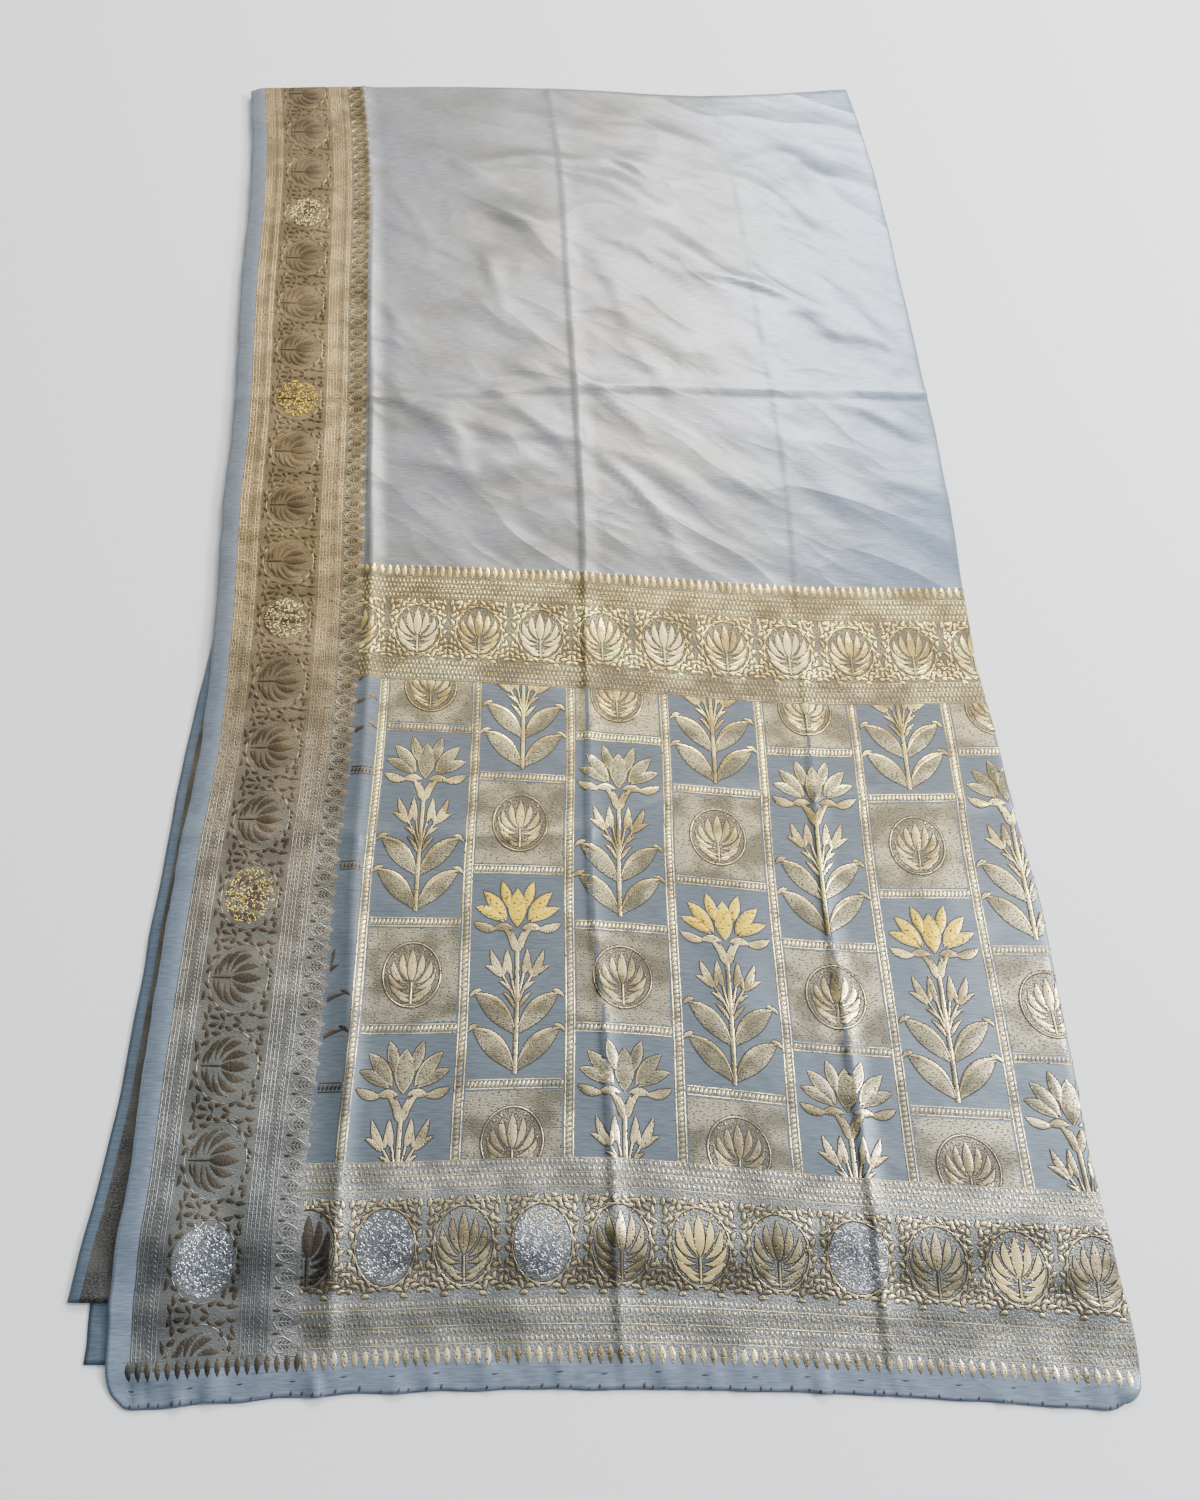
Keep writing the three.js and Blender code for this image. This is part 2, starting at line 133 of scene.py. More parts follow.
# %% Smooth curves through a table
def through(keys, values, at):
    """Values at the places at, on a smooth curve through the given rows."""
    keys = np.asarray(keys, float)
    values = np.asarray(values, float)
    at = np.asarray(at, float)
    slopes = np.gradient(values, keys, axis=0)
    row = np.clip(np.searchsorted(keys, at) - 1, 0, len(keys) - 2)
    span = keys[row + 1] - keys[row]
    t = np.clip((at - keys[row]) / span, 0, 1)
    pick = (row,) if values.ndim == 1 else (row, np.arange(at.size))
    after = (row + 1,) if values.ndim == 1 else (row + 1, np.arange(at.size))
    start = (2 * t**3 - 3 * t**2 + 1) * values[pick] + (t**3 - 2 * t**2 + t) * span * slopes[pick]
    end = (3 * t**2 - 2 * t**3) * values[after] + (t**3 - t**2) * span * slopes[after]
    return start + end


def along(table, key, column, at):
    """One column of a table at the places at of its key column."""
    return through([row[key] for row in table], [row[column] for row in table], at)


def outline(column, s):
    return along(OUTLINE, "s", column, s)


def ease(low, high, at):
    """0 below low, 1 above high, and a smooth step between."""
    t = np.clip((np.asarray(at, float) - low) / (high - low), 0, 1)
    return t * t * (3 - 2 * t)


def bump(off, side):
    """A rounded ridge, 1 at its middle and 0 at side."""
    return ease(0, 1, 1 - np.abs(off) / side)


def weft_shift(u, v):
    """How far the weft thread at v strays along the floor, at u."""
    u, v = np.asarray(u, float), np.asarray(v, float)
    columns = [along(WEFT, "v", name, v) for name in WEFT_U]
    return through(list(WEFT_U.values()), np.stack(columns), u)


def edge_u(v):
    """Where the cloth turns down at the right, in u."""
    reach = outline("right", v) - FOLD_RADIUS - outline("rope", v)
    return ROPE_U + reach / outline("spread", v)


def place_x(u, s):
    left = outline("left", s)
    rope = outline("rope", s)
    inside = left + (rope - left) * u / ROPE_U
    return np.where(u < ROPE_U, inside, rope + (u - ROPE_U) * outline("spread", s))


def rough(x, y, size, seed):
    """Soft noise from -1 to 1 at many places, with lumps of the given size in millimetres."""
    places = zip(np.ravel(x) / size, np.ravel(y) / size)
    values = [noise.noise(Vector((a, b, seed))) for a, b in places]
    return np.array(values).reshape(np.shape(x))


# %% [markdown]
# ## The lie of the cloth
# The top lay climbs from the surface over the hem of the lays below, carries the sharp folds that
# storage pressed into it, and some soft wrinkles. Each is a rounded ridge at its own place, so no
# simulation is needed and the folds stay where the real ones are. The lay's edges turn down
# over the right fold and the far fold.

# %% Heights of the lays
def over_hidden(inset, s):
    """How high the stack carries a cloth, by how far in from its left edge and how far up it is."""
    return (LAYS_UNDER_SECOND * LAY_PITCH + LAY_GAP) * ease(-13, 13, inset) * ease(46, 84, s)


def over_third(inset, s):
    """How high the corner of the third lay carries a cloth."""
    corner = ease(-30, -17, inset) * (1 - ease(28, 68, inset))
    return (WALL + LAY_GAP) * corner * ease(0, 11, s) * (1 - ease(64, 120, s))


def creases(u, v):
    """The sharp storage folds: steep on one side, and softer on the other."""
    high = np.zeros(np.shape(u))
    for name in ("border", "middle", "outer"):
        off = u - along(LENGTHWISE, "v", name, v)
        at_border = name == "border"
        flank = 4.2 + at_border * 14.0 * (1 - ease(430, 560, v))
        side = np.where(off < 0, flank, 13.0)
        fold = np.maximum(0, 1 - np.abs(off) / side)
        high += (1.25 if at_border else 0.9) * along(LENGTHWISE, "v", name + "_high", v) * fold**1.7
    for row in CROSSWISE:
        middle = through(list(CROSSWISE_U.values()), list(row.values()), u)
        off = v - middle
        high += 1.3 * np.maximum(0, 1 - np.abs(off) / np.where(off < 0, 5.0, 16.0))**1.5
    return high


def wrinkles(u, v, table):
    """Curved ridges at the places of the table. sharp makes one flank the steeper."""
    high = np.zeros(np.shape(u))
    for row in table:
        turn = math.radians(row["turn"])
        lengthways = (u - row["u"]) * math.cos(turn) + (v - row["v"]) * math.sin(turn)
        sideways = (v - row["v"]) * math.cos(turn) - (u - row["u"]) * math.sin(turn)
        sideways = sideways + lengthways**2 / (6 * row["long"])
        sharp = row.get("sharp", 0)
        side = row["wide"] * 1.5 * np.where(sideways < 0, 1 - sharp, 1 + sharp)
        high += row["high"] * bump(lengthways, row["long"] * 1.4) * bump(sideways, side)
    return high


# %% Small wrinkles that the solids leave out
def small_wrinkles():
    """Short soft creases: most over the plain field, slanting down to the right, the rest nearer."""
    pick = random.Random(7)
    rows = []
    for _ in range(84):
        rows.append(dict(
            u=pick.uniform(120, 560), v=pick.uniform(545, 1050), turn=pick.gauss(-30, 18),
            long=pick.uniform(22, 66), wide=pick.uniform(5, 13), high=pick.uniform(0.3, 1.3),
            sharp=pick.uniform(0.3, 0.6)))
    for _ in range(30):
        rows.append(dict(
            u=pick.uniform(10, 560), v=pick.uniform(40, 520), turn=pick.gauss(60, 40),
            long=pick.uniform(14, 36), wide=pick.uniform(5, 10), high=pick.uniform(0.2, 0.6)))
    return rows


SMALL_WRINKLES = small_wrinkles()
print("small wrinkles:", len(SMALL_WRINKLES))


# %% The outer face of the top lay
# How high the roughness stands: in wide lumps, in small ones, and in the puckers at the hem.
LUMPS_HIGH, SMALL_LUMPS_HIGH, PUCKERS_HIGH = 0.9, 0.4, 3.4


def round_corners(u, v, x, s):
    """x and s with the two corners at the hem rounded off."""
    below = np.clip(CORNER_RADIUS - v, 0, None)
    for aside, way in ((CORNER_RADIUS - u, 1), (CORNER_RADIUS - edge_u(v) + u, -1)):
        aside = np.clip(aside, 0, None)
        share = 1 - np.maximum(aside, below) / np.maximum(np.hypot(aside, below), 1e-9)
        x = x + way * aside * share * (below > 0)
        s = s + below * share * (aside > 0)
    return x, s


def top_place(u, v, past_right, past_far):
    """Points of the top lay's outer face, in millimetres: x, s and height."""
    s = v + weft_shift(u, v)
    x = place_x(u, s)
    inset = x - outline("left", s)
    lays = over_hidden(inset, s) + over_third(inset, s) + (WALL + LAY_GAP) * ease(29, 43, s)
    relief = creases(u, v) + wrinkles(u, v, WRINKLES) + wrinkles(u, v, SMALL_WRINKLES)
    relief = relief + LUMPS_HIGH * (rough(u, v, 90, 3.1) + 1) * 0.5
    relief = relief + SMALL_LUMPS_HIGH * rough(u, v, 26, 8.4)
    puckers = PUCKERS_HIGH * np.maximum(0, rough(u, v * 0.35, 9.0, 5.2)) * (1 - ease(3, 30, v))
    high = WALL + lays + relief * ease(-10, 50, v) + puckers
    waver = 1.1 * rough(s, s * 0, 34, 1.7) + 0.5 * rough(s, s * 0, 11, 2.6)
    x = x + waver * (1 - ease(0, 26, u)) + 1.2 * rough(s, s * 0, 60, 4.4) * ease(-40, 0, u - edge_u(v))
    s = s + 0.9 * rough(u, u * 0, 22, 6.1) * (1 - ease(0, 20, v))
    x, s = round_corners(u, v, x, s)
    past = np.maximum(past_right, past_far)
    length = np.maximum(np.hypot(past_right, past_far), 1e-9)
    turn = past * FOLD_TURN * (0.55 + 0.45 * ease(20, 66, s))
    drop = np.minimum(FOLD_RADIUS, (high - WALL) / 2.2)
    out = FOLD_RADIUS * np.sin(turn)
    return np.stack([
        x + out * past_right / length, s + out * past_far / length, high - drop * (1 - np.cos(turn))])


# %% [markdown]
# ## Small helpers
# A colour is picked on screen as sRGB and Blender wants it linear, so one function turns it. One
# more adds a node to any tree, with its settings and its links.

# %% Colour and node helpers
def linear(hex_colour):
    """A colour such as #A8926E as Blender's linear red, green, blue and alpha."""
    parts = [int(hex_colour[k:k + 2], 16) / 255 for k in (1, 3, 5)]
    return tuple(p / 12.92 if p <= 0.04045 else ((p + 0.055) / 1.055) ** 2.4 for p in parts) + (1.0,)


def add(tree, kind, inputs=None, **settings):
    """Adds a node, sets it, and links or fills its inputs by name or number."""
    node = tree.nodes.new(kind)
    for key, value in settings.items():
        setattr(node, key, value)
    for socket, value in (inputs or {}).items():
        if isinstance(value, bpy.types.NodeSocket):
            tree.links.new(value, node.inputs[socket])
        else:
            node.inputs[socket].default_value = value
    return node


def maths(tree, operation, *values):
    """What one Math node gives."""
    return add(tree, "ShaderNodeMath", dict(enumerate(values)), operation=operation).outputs[0]


def vector(tree, operation, one, other):
    """What one Vector Math node gives. To scale, other is a number."""
    inputs = {0: one, "Scale" if operation == "SCALE" else 1: other}
    return add(tree, "ShaderNodeVectorMath", inputs, operation=operation).outputs[0]


def show(obj):
    bpy.context.scene.collection.objects.link(obj)
    return obj


def hide_away(obj):
    """Removes a helper object and its mesh."""
    mesh = obj.data
    bpy.data.objects.remove(obj)
    bpy.data.meshes.remove(mesh)


# %% [markdown]
# ## A sheet from a grid of places
# Cloth is a grid: weft one way and warp the other. Each sheet here is a grid of points with its own
# map of where every point lies on the loom length. Materials and motifs read that map, called
# cloth, in metres, so a pattern follows the cloth over every fold.

# %% Sheets
def grid_faces(rows, columns):
    j, i = np.mgrid[0:rows - 1, 0:columns - 1]
    first = j * columns + i
    return np.stack([first, first + 1, first + columns + 1, first + columns], axis=-1).reshape(-1, 4)


def smooth(mesh):
    mesh.polygons.foreach_set("use_smooth", np.ones(len(mesh.polygons), bool))


def to_frame(places):
    """Millimetre places x, s, height as metres in the frame."""
    shifted = np.array(places, float)
    shifted[..., 0] -= CENTRE[0]
    shifted[..., 1] -= CENTRE[1]
    return shifted * MM


def sheet_object(name, places, on_cloth, material_of=None):
    """A smooth sheet. places is rows x columns x 3, and on_cloth its u and v."""
    rows, columns = places.shape[:2]
    faces = grid_faces(rows, columns)
    mesh = bpy.data.meshes.new(name)
    mesh.from_pydata(to_frame(places).reshape(-1, 3).tolist(), [], faces.tolist())
    flat = on_cloth.reshape(-1, 2) * MM
    layer = mesh.uv_layers.new(name="cloth")
    layer.data.foreach_set("uv", flat[faces.ravel()].astype(np.float32).ravel())
    smooth(mesh)
    if material_of is not None:
        centres = on_cloth.reshape(-1, 2)[faces].mean(axis=1)
        mesh.polygons.foreach_set("material_index", material_of(centres).astype(np.int32))
    facing = np.zeros(rows * columns * 3, np.float32)
    mesh.vertex_normals.foreach_get("vector", facing)
    up = mesh.attributes.new("cloth_up", "FLOAT_VECTOR", "POINT")
    up.data.foreach_set("vector", facing)
    mesh.update()
    return show(bpy.data.objects.new(name, mesh))


def even(low, high, count):
    """Even steps from low, without high."""
    return np.linspace(low, high, count, endpoint=False)


# %% The top lay
TURN_STEPS = 5
TURN_LENGTH = FOLD_RADIUS * FOLD_TURN
BANDS_U = dict(selvedge=14.0, outer_gold=30.0, roundels=76.0, inner_gold=93.0, ogees=109.0)
BAND_LOW = 120.0
BAND_HIGH = 435.0


# Columns crowd from this far before a crease to this far past it.
BEFORE_CREASE, PAST_CREASE = 8, 16


def steps(*stops):
    """Even steps through the stops: places, with the counts of steps between them."""
    return np.concatenate([
        even(low, high, count) for low, count, high in zip(stops[::2], stops[1::2], stops[2::2])])


def top_columns(v):
    """u for every column at one v, and how far round the right fold each is."""
    middle = float(along(LENGTHWISE, "v", "middle", [v])[0])
    outer = float(along(LENGTHWISE, "v", "outer", [v])[0])
    edge = float(edge_u(np.array([v]))[0])
    flat = steps(
        0, 6, 14, 5, 30, 13, 76, 5, 93, 5, BORDER_WIDTH, 14, 142,
        34, middle - BEFORE_CREASE, 9, middle + PAST_CREASE,
        32, outer - BEFORE_CREASE, 9, outer + PAST_CREASE, 27, edge)
    past = np.linspace(0, 1, TURN_STEPS + 1)
    return np.concatenate([flat, np.full(past.size, edge)]), np.concatenate([flat * 0, past])


def top_rows():
    turn_v = FAR_END - FOLD_RADIUS
    flat = steps(0, 6, HEM_LENGTH, 28, BAND_LOW, 79, BAND_HIGH, 25, PALLU_END, 130, turn_v)
    past = np.linspace(0, 1, TURN_STEPS + 1)
    last = np.full(past.size, turn_v)
    return np.concatenate([flat, last]), np.concatenate([flat * 0, past])


TOP_SLOTS = ["selvedge", "outer_gold", "roundels", "inner_gold", "ogees", "band", "grid", "field", "hem"]


def top_slot(centres):
    """Which woven area a face lies in, as its place in TOP_SLOTS."""
    u, v = centres.T
    body = np.where(v > PALLU_END, 7, np.where((v > BAND_LOW) & (v < BAND_HIGH), 6, 5))
    slot = np.where(u > BORDER_WIDTH, body, np.searchsorted(list(BANDS_U.values()), u))
    slot = np.where(v < HEM_LENGTH + 4, 8, slot)
    return np.where(u < BANDS_U["selvedge"], 0, slot)


def build_top_lay():
    rows, past_far = top_rows()
    columns = [top_columns(v) for v in rows]
    u = np.stack([c[0] for c in columns])
    past_right = np.stack([c[1] for c in columns])
    v = np.repeat(rows[:, None], u.shape[1], axis=1)
    far = np.repeat(past_far[:, None], u.shape[1], axis=1)
    flat = [grid.ravel() for grid in (u, v, past_right, far)]
    places = top_place(*flat).T.reshape(*u.shape, 3)
    on_cloth = np.stack([u + past_right * TURN_LENGTH, v + far * TURN_LENGTH], axis=-1)
    return sheet_object("top_lay", places, on_cloth, top_slot)


top_lay = build_top_lay()
print("top lay faces:", len(top_lay.data.polygons))

# %% [markdown]
# ## Woven motifs
# On the loom the pattern is metal thread, laid in only where the motif shows, so it stands a
# little proud of the silk. Each motif is drawn flat in millimetres from leaves, lines and dots
# with a raised middle, which catch the light as the real floats do. A flat, wider and dark copy
# lies under many motifs: painted shade along their edges, where the shade of the raised thread
# falls. A picture would look flat and can't be used here, so the motifs are meshes.

# %% Flat shapes: points and triangles
def triangles(faces):
    return np.concatenate([faces[:, [0, 1, 2]], faces[:, [0, 2, 3]]])


def strip(middle, half, high):
    """A domed band along a line: left edge, raised middle, right edge."""
    way = np.gradient(middle, axis=0)
    way = way / np.maximum(np.linalg.norm(way, axis=1, keepdims=True), 1e-9)
    side = np.stack([-way[:, 1], way[:, 0]], axis=1) * half[:, None]
    points = np.zeros((len(middle), 3, 3))
    points[:, 0, :2], points[:, 1, :2], points[:, 2, :2] = middle + side, middle, middle - side
    points[:, 1, 2] = high
    return points.reshape(-1, 3), triangles(grid_faces(len(middle), 3))


def leaf(start, end, wide, bow=0.0, full=0.42, steps=7, high=0.32):
    """A pointed leaf. bow bends it to its left, and full says where along it is widest."""
    t = np.linspace(0, 1, steps)
    start, end = np.array(start, float), np.array(end, float)
    way = end - start
    side = np.array([-way[1], way[0]]) / np.hypot(*way)
    middle = start + t[:, None] * way + side * (4 * bow * t * (1 - t))[:, None]
    swell = t ** (full / (1 - full)) * (1 - t)
    half = np.maximum(wide / 2 * swell / swell.max(), 0.07)
    return strip(middle, half, high * (half / half.max()))


def line(points, wide, high=0.25, step=2.6):
    """A thread line through the points, in short straight steps."""
    points = np.array(points, float)
    lengths = np.r_[0, np.cumsum(np.hypot(*np.diff(points, axis=0).T))]
    places = np.linspace(0, lengths[-1], max(2, int(lengths[-1] / step) + 1))
    middle = np.stack([np.interp(places, lengths, points[:, k]) for k in (0, 1)], axis=1)
    return strip(middle, np.full(len(middle), wide / 2), high)


def dot(wide, tall, high=0.25):
    """A small stud with four sides about the origin."""
    turn = even(0, 2 * math.pi, 4)
    ring = np.stack([wide * np.cos(turn), tall * np.sin(turn), turn * 0], axis=1)
    return np.vstack([ring, [0, 0, high]]), np.array([[0, 1, 4], [1, 2, 4], [2, 3, 4], [3, 0, 4]])


def flat_grid(u, v, high, way=1):
    """A grid of places as triangles. A way of -1 turns them over."""
    points = np.stack([u.ravel(), v.ravel(), np.full(u.size, high)], axis=1)
    return points, triangles(grid_faces(*u.shape)[:, ::way])


# %% Joining, moving and mirroring shapes
def join(*shapes):
    points, faces, start = [], [], 0
    for some_points, some_faces in shapes:
        points.append(some_points)
        faces.append(some_faces + start)
        start += len(some_points)
    return np.vstack(points), np.vstack(faces)


def moved(shape, du=0.0, dv=0.0, turn=0.0):
    points, faces = shape
    c, s = math.cos(math.radians(turn)), math.sin(math.radians(turn))
    turned = points.copy()
    turned[:, 0] = points[:, 0] * c - points[:, 1] * s + du
    turned[:, 1] = points[:, 0] * s + points[:, 1] * c + dv
    return turned, faces


def flipped(shape, way=(-1, 1, 1)):
    """The mirror image across the v axis, or the other way across the u axis."""
    return shape[0] * way, shape[1][:, ::-1]


def both_ways(shape):
    """The shape and its mirror image across the u axis."""
    return join(shape, flipped(shape, (1, -1, 1)))


def pair(shape):
    return join(shape, flipped(shape))


# %% The painted shade at the edge of a motif
def shade_copy(shape, by=0.75):
    """A flat and wider copy of a shape made of strips: painted shade along its edges."""
    points, faces = shape
    rows = points.reshape(-1, 3, 3).copy()
    side = rows[:, 0, :2] - rows[:, 1, :2]
    side = by * side / np.maximum(np.linalg.norm(side, axis=1, keepdims=True), 1e-9)
    rows[:, 0, :2] += side
    rows[:, 2, :2] -= side
    rows[:, :, 2] = 0.0
    return rows.reshape(-1, 3), faces


# %% The lotus plant of the tall cells
def halves(*leaves):
    """Leaves of the right half, each with its mirror image."""
    return join(*[pair(leaf(*one)) for one in leaves])


def plant_threads():
    """Stem, leaf edges, buds and sprigs: smooth bright thread."""
    broad = halves(
        ((0.8, 3), (28, 27.5), 3.4, 6.6, 0.62, 12, 0.55), ((0.8, 25), (27, 49), 3.4, 6.4, 0.62, 12, 0.55),
        ((23.5, 29.4), (30.6, 25.2), 2.5, 1.0), ((22.5, 51.0), (29.6, 46.8), 2.5, 1.0))
    stalk = pair(line([(0.6, 43), (4.5, 52), (9.2, 60)], 1.1))
    short_stalk = pair(line([(0.5, 45), (2.6, 54), (4.0, 61)], 1.0))
    buds = halves(
        ((3.4, 50), (11.5, 56.5), 1.9, 0.6), ((1.6, 40), (9.0, 49.5), 2.0, 0.8),
        ((9.0, 59.2), (17.0, 76.5), 4.6, -0.8), ((10.2, 59.0), (20.5, 66.5), 3.0, 1.0),
        ((8.6, 60), (8.4, 69), 2.4, 0.4), ((3.9, 60.5), (6.4, 77), 4.4, -0.9),
        ((1.6, 75.5), (9.6, 91.0), 3.8, 2.0), ((0.6, 75), (3.4, 88.5), 4.6, -0.4))
    return join(line([(0, 0), (0, 77)], 2.3, 0.45), broad, stalk, short_stalk, buds)


def plant_fill():
    """The broad lobes of the leaves: speckled thread."""
    return halves(
        ((1.6, 2), (26.5, 26.0), 10.5, 1.6, 0.52, 12, 0.45),
        ((1.6, 24), (25.6, 47.6), 10.5, 1.6, 0.52, 12, 0.45))


def lotus():
    return join(leaf((0, 91), (0, 117.5), 12.0, 0, 0.5, 9, 0.4), halves(
        ((2.6, 90.5), (15.5, 90.0), 4.8, 1.2, 0.5, 7, 0.5),
        ((13.0, 90.2), (28.5, 94.5), 5.4, -1.6, 0.5, 7, 0.5),
        ((8.6, 94.6), (27.5, 104.5), 6.6, 1.2, 0.52, 8, 0.4),
        ((6.8, 95.5), (22.5, 115.0), 8.2, 1.0, 0.5, 8, 0.4),
        ((5.4, 103), (10.5, 122), 6.6, 0.4, 0.5, 8, 0.4)))


def lotus_fill():
    """The speckled inside of each petal, which leaves its bright edge showing."""
    return join(leaf((0, 92.0), (0, 116.2), 10.4, 0, 0.5, 9, 0.7), halves(
        ((9.4, 95.2), (26.6, 104.1), 5.3, 1.1, 0.52, 8, 0.55),
        ((7.8, 96.8), (21.9, 114.2), 6.8, 0.9, 0.5, 8, 0.6),
        ((5.8, 104.4), (10.3, 120.8), 5.3, 0.4, 0.5, 8, 0.55)))


# %% The small lotus of the roundels
def roundel_flower(wide, tall):
    """A lotus on a stem with leaves, to fit a ring of the given width and height."""
    drawn_at = 37
    petals = halves(
        ((2.0, -3.8), (7.0, 13.4), 4.5, -2.0, 0.56, 8), ((3.0, -5.6), (13.4, 8.6), 4.3, -3.4, 0.58, 8),
        ((2.6, -8.4), (16.4, 0.8), 3.5, -3.2, 0.58, 8), ((1.0, -13.4), (14.8, -6.8), 3.6, -1.9, 0.54, 8),
        ((0.8, -16.4), (9.4, -13.0), 2.5, -0.7), ((7.6, 15.2), (8.6, 16.4), 1.5, 0, 0.5, 3),
        ((12.4, 12.2), (13.4, 13.4), 1.5, 0, 0.5, 3), ((16.2, 1.2), (16.8, 2.6), 1.3, 0, 0.5, 3))
    middle = leaf((0, -5.0), (0, 16.2), 6.2, 0, 0.46, 9, 0.5)
    points, faces = join(middle, line([(0, -18), (0, -5)], 1.3, 0.4), petals)
    return points * [wide / drawn_at, tall / drawn_at, 1], faces


def roundel_ring(wide, tall, thick=0.8, steps=40):
    turn = np.linspace(0, 2 * math.pi, steps)
    middle = np.stack([(wide / 2 - 0.4) * np.cos(turn), (tall / 2 - 0.4) * np.sin(turn)], axis=1)
    return strip(middle, np.full(steps, thick / 2), 0.28)


def glitter(wide, tall, count, seed):
    """Short floats of bright thread all over a roundel, each at its own slant."""
    pick = random.Random(seed)
    flecks = []
    while len(flecks) < count:
        a, b = pick.uniform(-1, 1), pick.uniform(-1, 1)
        if a * a + b * b < 0.94:
            slant = math.radians(pick.choice((20, 45, 70, 110, 150)))
            start = (a * wide * 0.45, b * tall * 0.45)
            reach = pick.uniform(1.2, 2.3)
            end = (start[0] + reach * math.cos(slant), start[1] + reach * math.sin(slant))
            flecks.append(leaf(start, end, 0.85, 0, 0.5, 3, 0.45))
    return join(*flecks)


def disc(wide, tall, rings=7, sides=30, high=0.12):
    """A flat ellipse in small steps, so that it follows a fold."""
    turn = np.linspace(0, 2 * math.pi, sides + 1)
    reach = np.linspace(0.04, 0.5, rings)
    u = np.outer(reach, np.cos(turn)) * wide
    v = np.outer(reach, np.sin(turn)) * tall
    return flat_grid(u, v, high, -1)


# %% The leafy ground between the roundels
def foliage(pitch, depth, ring_wide, ring_tall, seed, size=1.0):
    """Leaves that run up both sides of one roundel and fill one length of its band."""
    pick = random.Random(seed)
    leaves = []
    for row in range(7):
        out = (1.5 + 4.0 * row) * size
        wide, tall = ring_wide / 2 + out, ring_tall / 2 + out
        count = int(math.pi * (wide + tall) / 2 / (3.6 * size))
        for k in range(count):
            turn = math.pi * ((k + 0.5) / count - 0.5)
            u, v = wide * math.cos(turn), tall * math.sin(turn)
            if u > pitch / 2 - 0.3 * size or abs(v) > depth / 2 - 0.8 * size:
                continue
            flow = math.atan2(tall * math.cos(turn), -wide * math.sin(turn))
            slant = flow + math.radians((-34 if (k + row) % 2 else 26) + pick.uniform(-8, 8))
            reach = size * pick.uniform(4.2, 5.6)
            end = (min(pitch / 2 + 0.6, max(0.4, u + reach * math.cos(slant))),
                   max(-depth / 2, min(depth / 2, v + reach * math.sin(slant))))
            leaves.append(leaf((u, v), end, 2.3 * size, 0.6 * size, 0.4, 6, 0.45))
    return pair(join(*leaves))


# %% [markdown]
# ## Repeats
# A jacquard card repeats a motif across and along. A Geometry Nodes tree does the same: it sets out
# points by count and step, puts the motif on each, and makes the copies real. A second tree lays a
# flat pattern on the cloth: it reads each point's u and v, looks up the same place on the
# cloth's own map, and moves the point there, lifted by its height.

# %% The repeat tree
def new_tree(name, sockets):
    """A geometry tree with the given inputs, and what those inputs bring."""
    tree = bpy.data.node_groups.new(name, "GeometryNodeTree")
    for socket, kind in {"Geometry": "Geometry", **sockets, "Material": "Material"}.items():
        tree.interface.new_socket(socket, in_out="INPUT", socket_type="NodeSocket" + kind)
    tree.interface.new_socket("Geometry", in_out="OUTPUT", socket_type="NodeSocketGeometry")
    return tree, add(tree, "NodeGroupInput").outputs


def end_tree(tree, geometry, material):
    """Makes the copies real, gives them their material and ends the tree."""
    real = add(tree, "GeometryNodeRealizeInstances", {"Geometry": geometry}).outputs[0]
    dressed = add(tree, "GeometryNodeSetMaterial", {"Geometry": real, "Material": material})
    add(tree, "NodeGroupOutput", {0: dressed.outputs[0]})
    return tree


def repeat_tree():
    sockets = {"Count": "Int", "Rows": "Int"}
    sockets.update(dict.fromkeys(("Start", "Step", "Row step", "Stagger"), "Vector"))
    tree, given = new_tree("Woven repeat", sockets)
    index = add(tree, "GeometryNodeInputIndex").outputs[0]
    part = maths(tree, "DIVIDE", maths(tree, "ADD", index, 0.5), given["Count"])
    row = maths(tree, "FLOOR", part)
    column = maths(tree, "SUBTRACT", index, maths(tree, "MULTIPLY", row, given["Count"]))
    odd = maths(tree, "MODULO", row, 2.0)
    place = given["Start"]
    for direction, amount in (("Step", column), ("Row step", row), ("Stagger", odd)):
        place = vector(tree, "ADD", place, vector(tree, "SCALE", given[direction], amount))
    total = maths(tree, "MULTIPLY", given["Count"], given["Rows"])
    points = add(tree, "GeometryNodePoints", {"Count": total, "Position": place}).outputs[0]
    copies = add(tree, "GeometryNodeInstanceOnPoints", {"Points": points, "Instance": given["Geometry"]})
    return end_tree(tree, copies.outputs[0], given["Material"])


# %% The tree that lays a flat pattern on the cloth
def named(tree, name):
    """A vector that the mesh keeps under this name."""
    node = add(tree, "GeometryNodeInputNamedAttribute", {"Name": name}, data_type="FLOAT_VECTOR")
    return node.outputs[0]


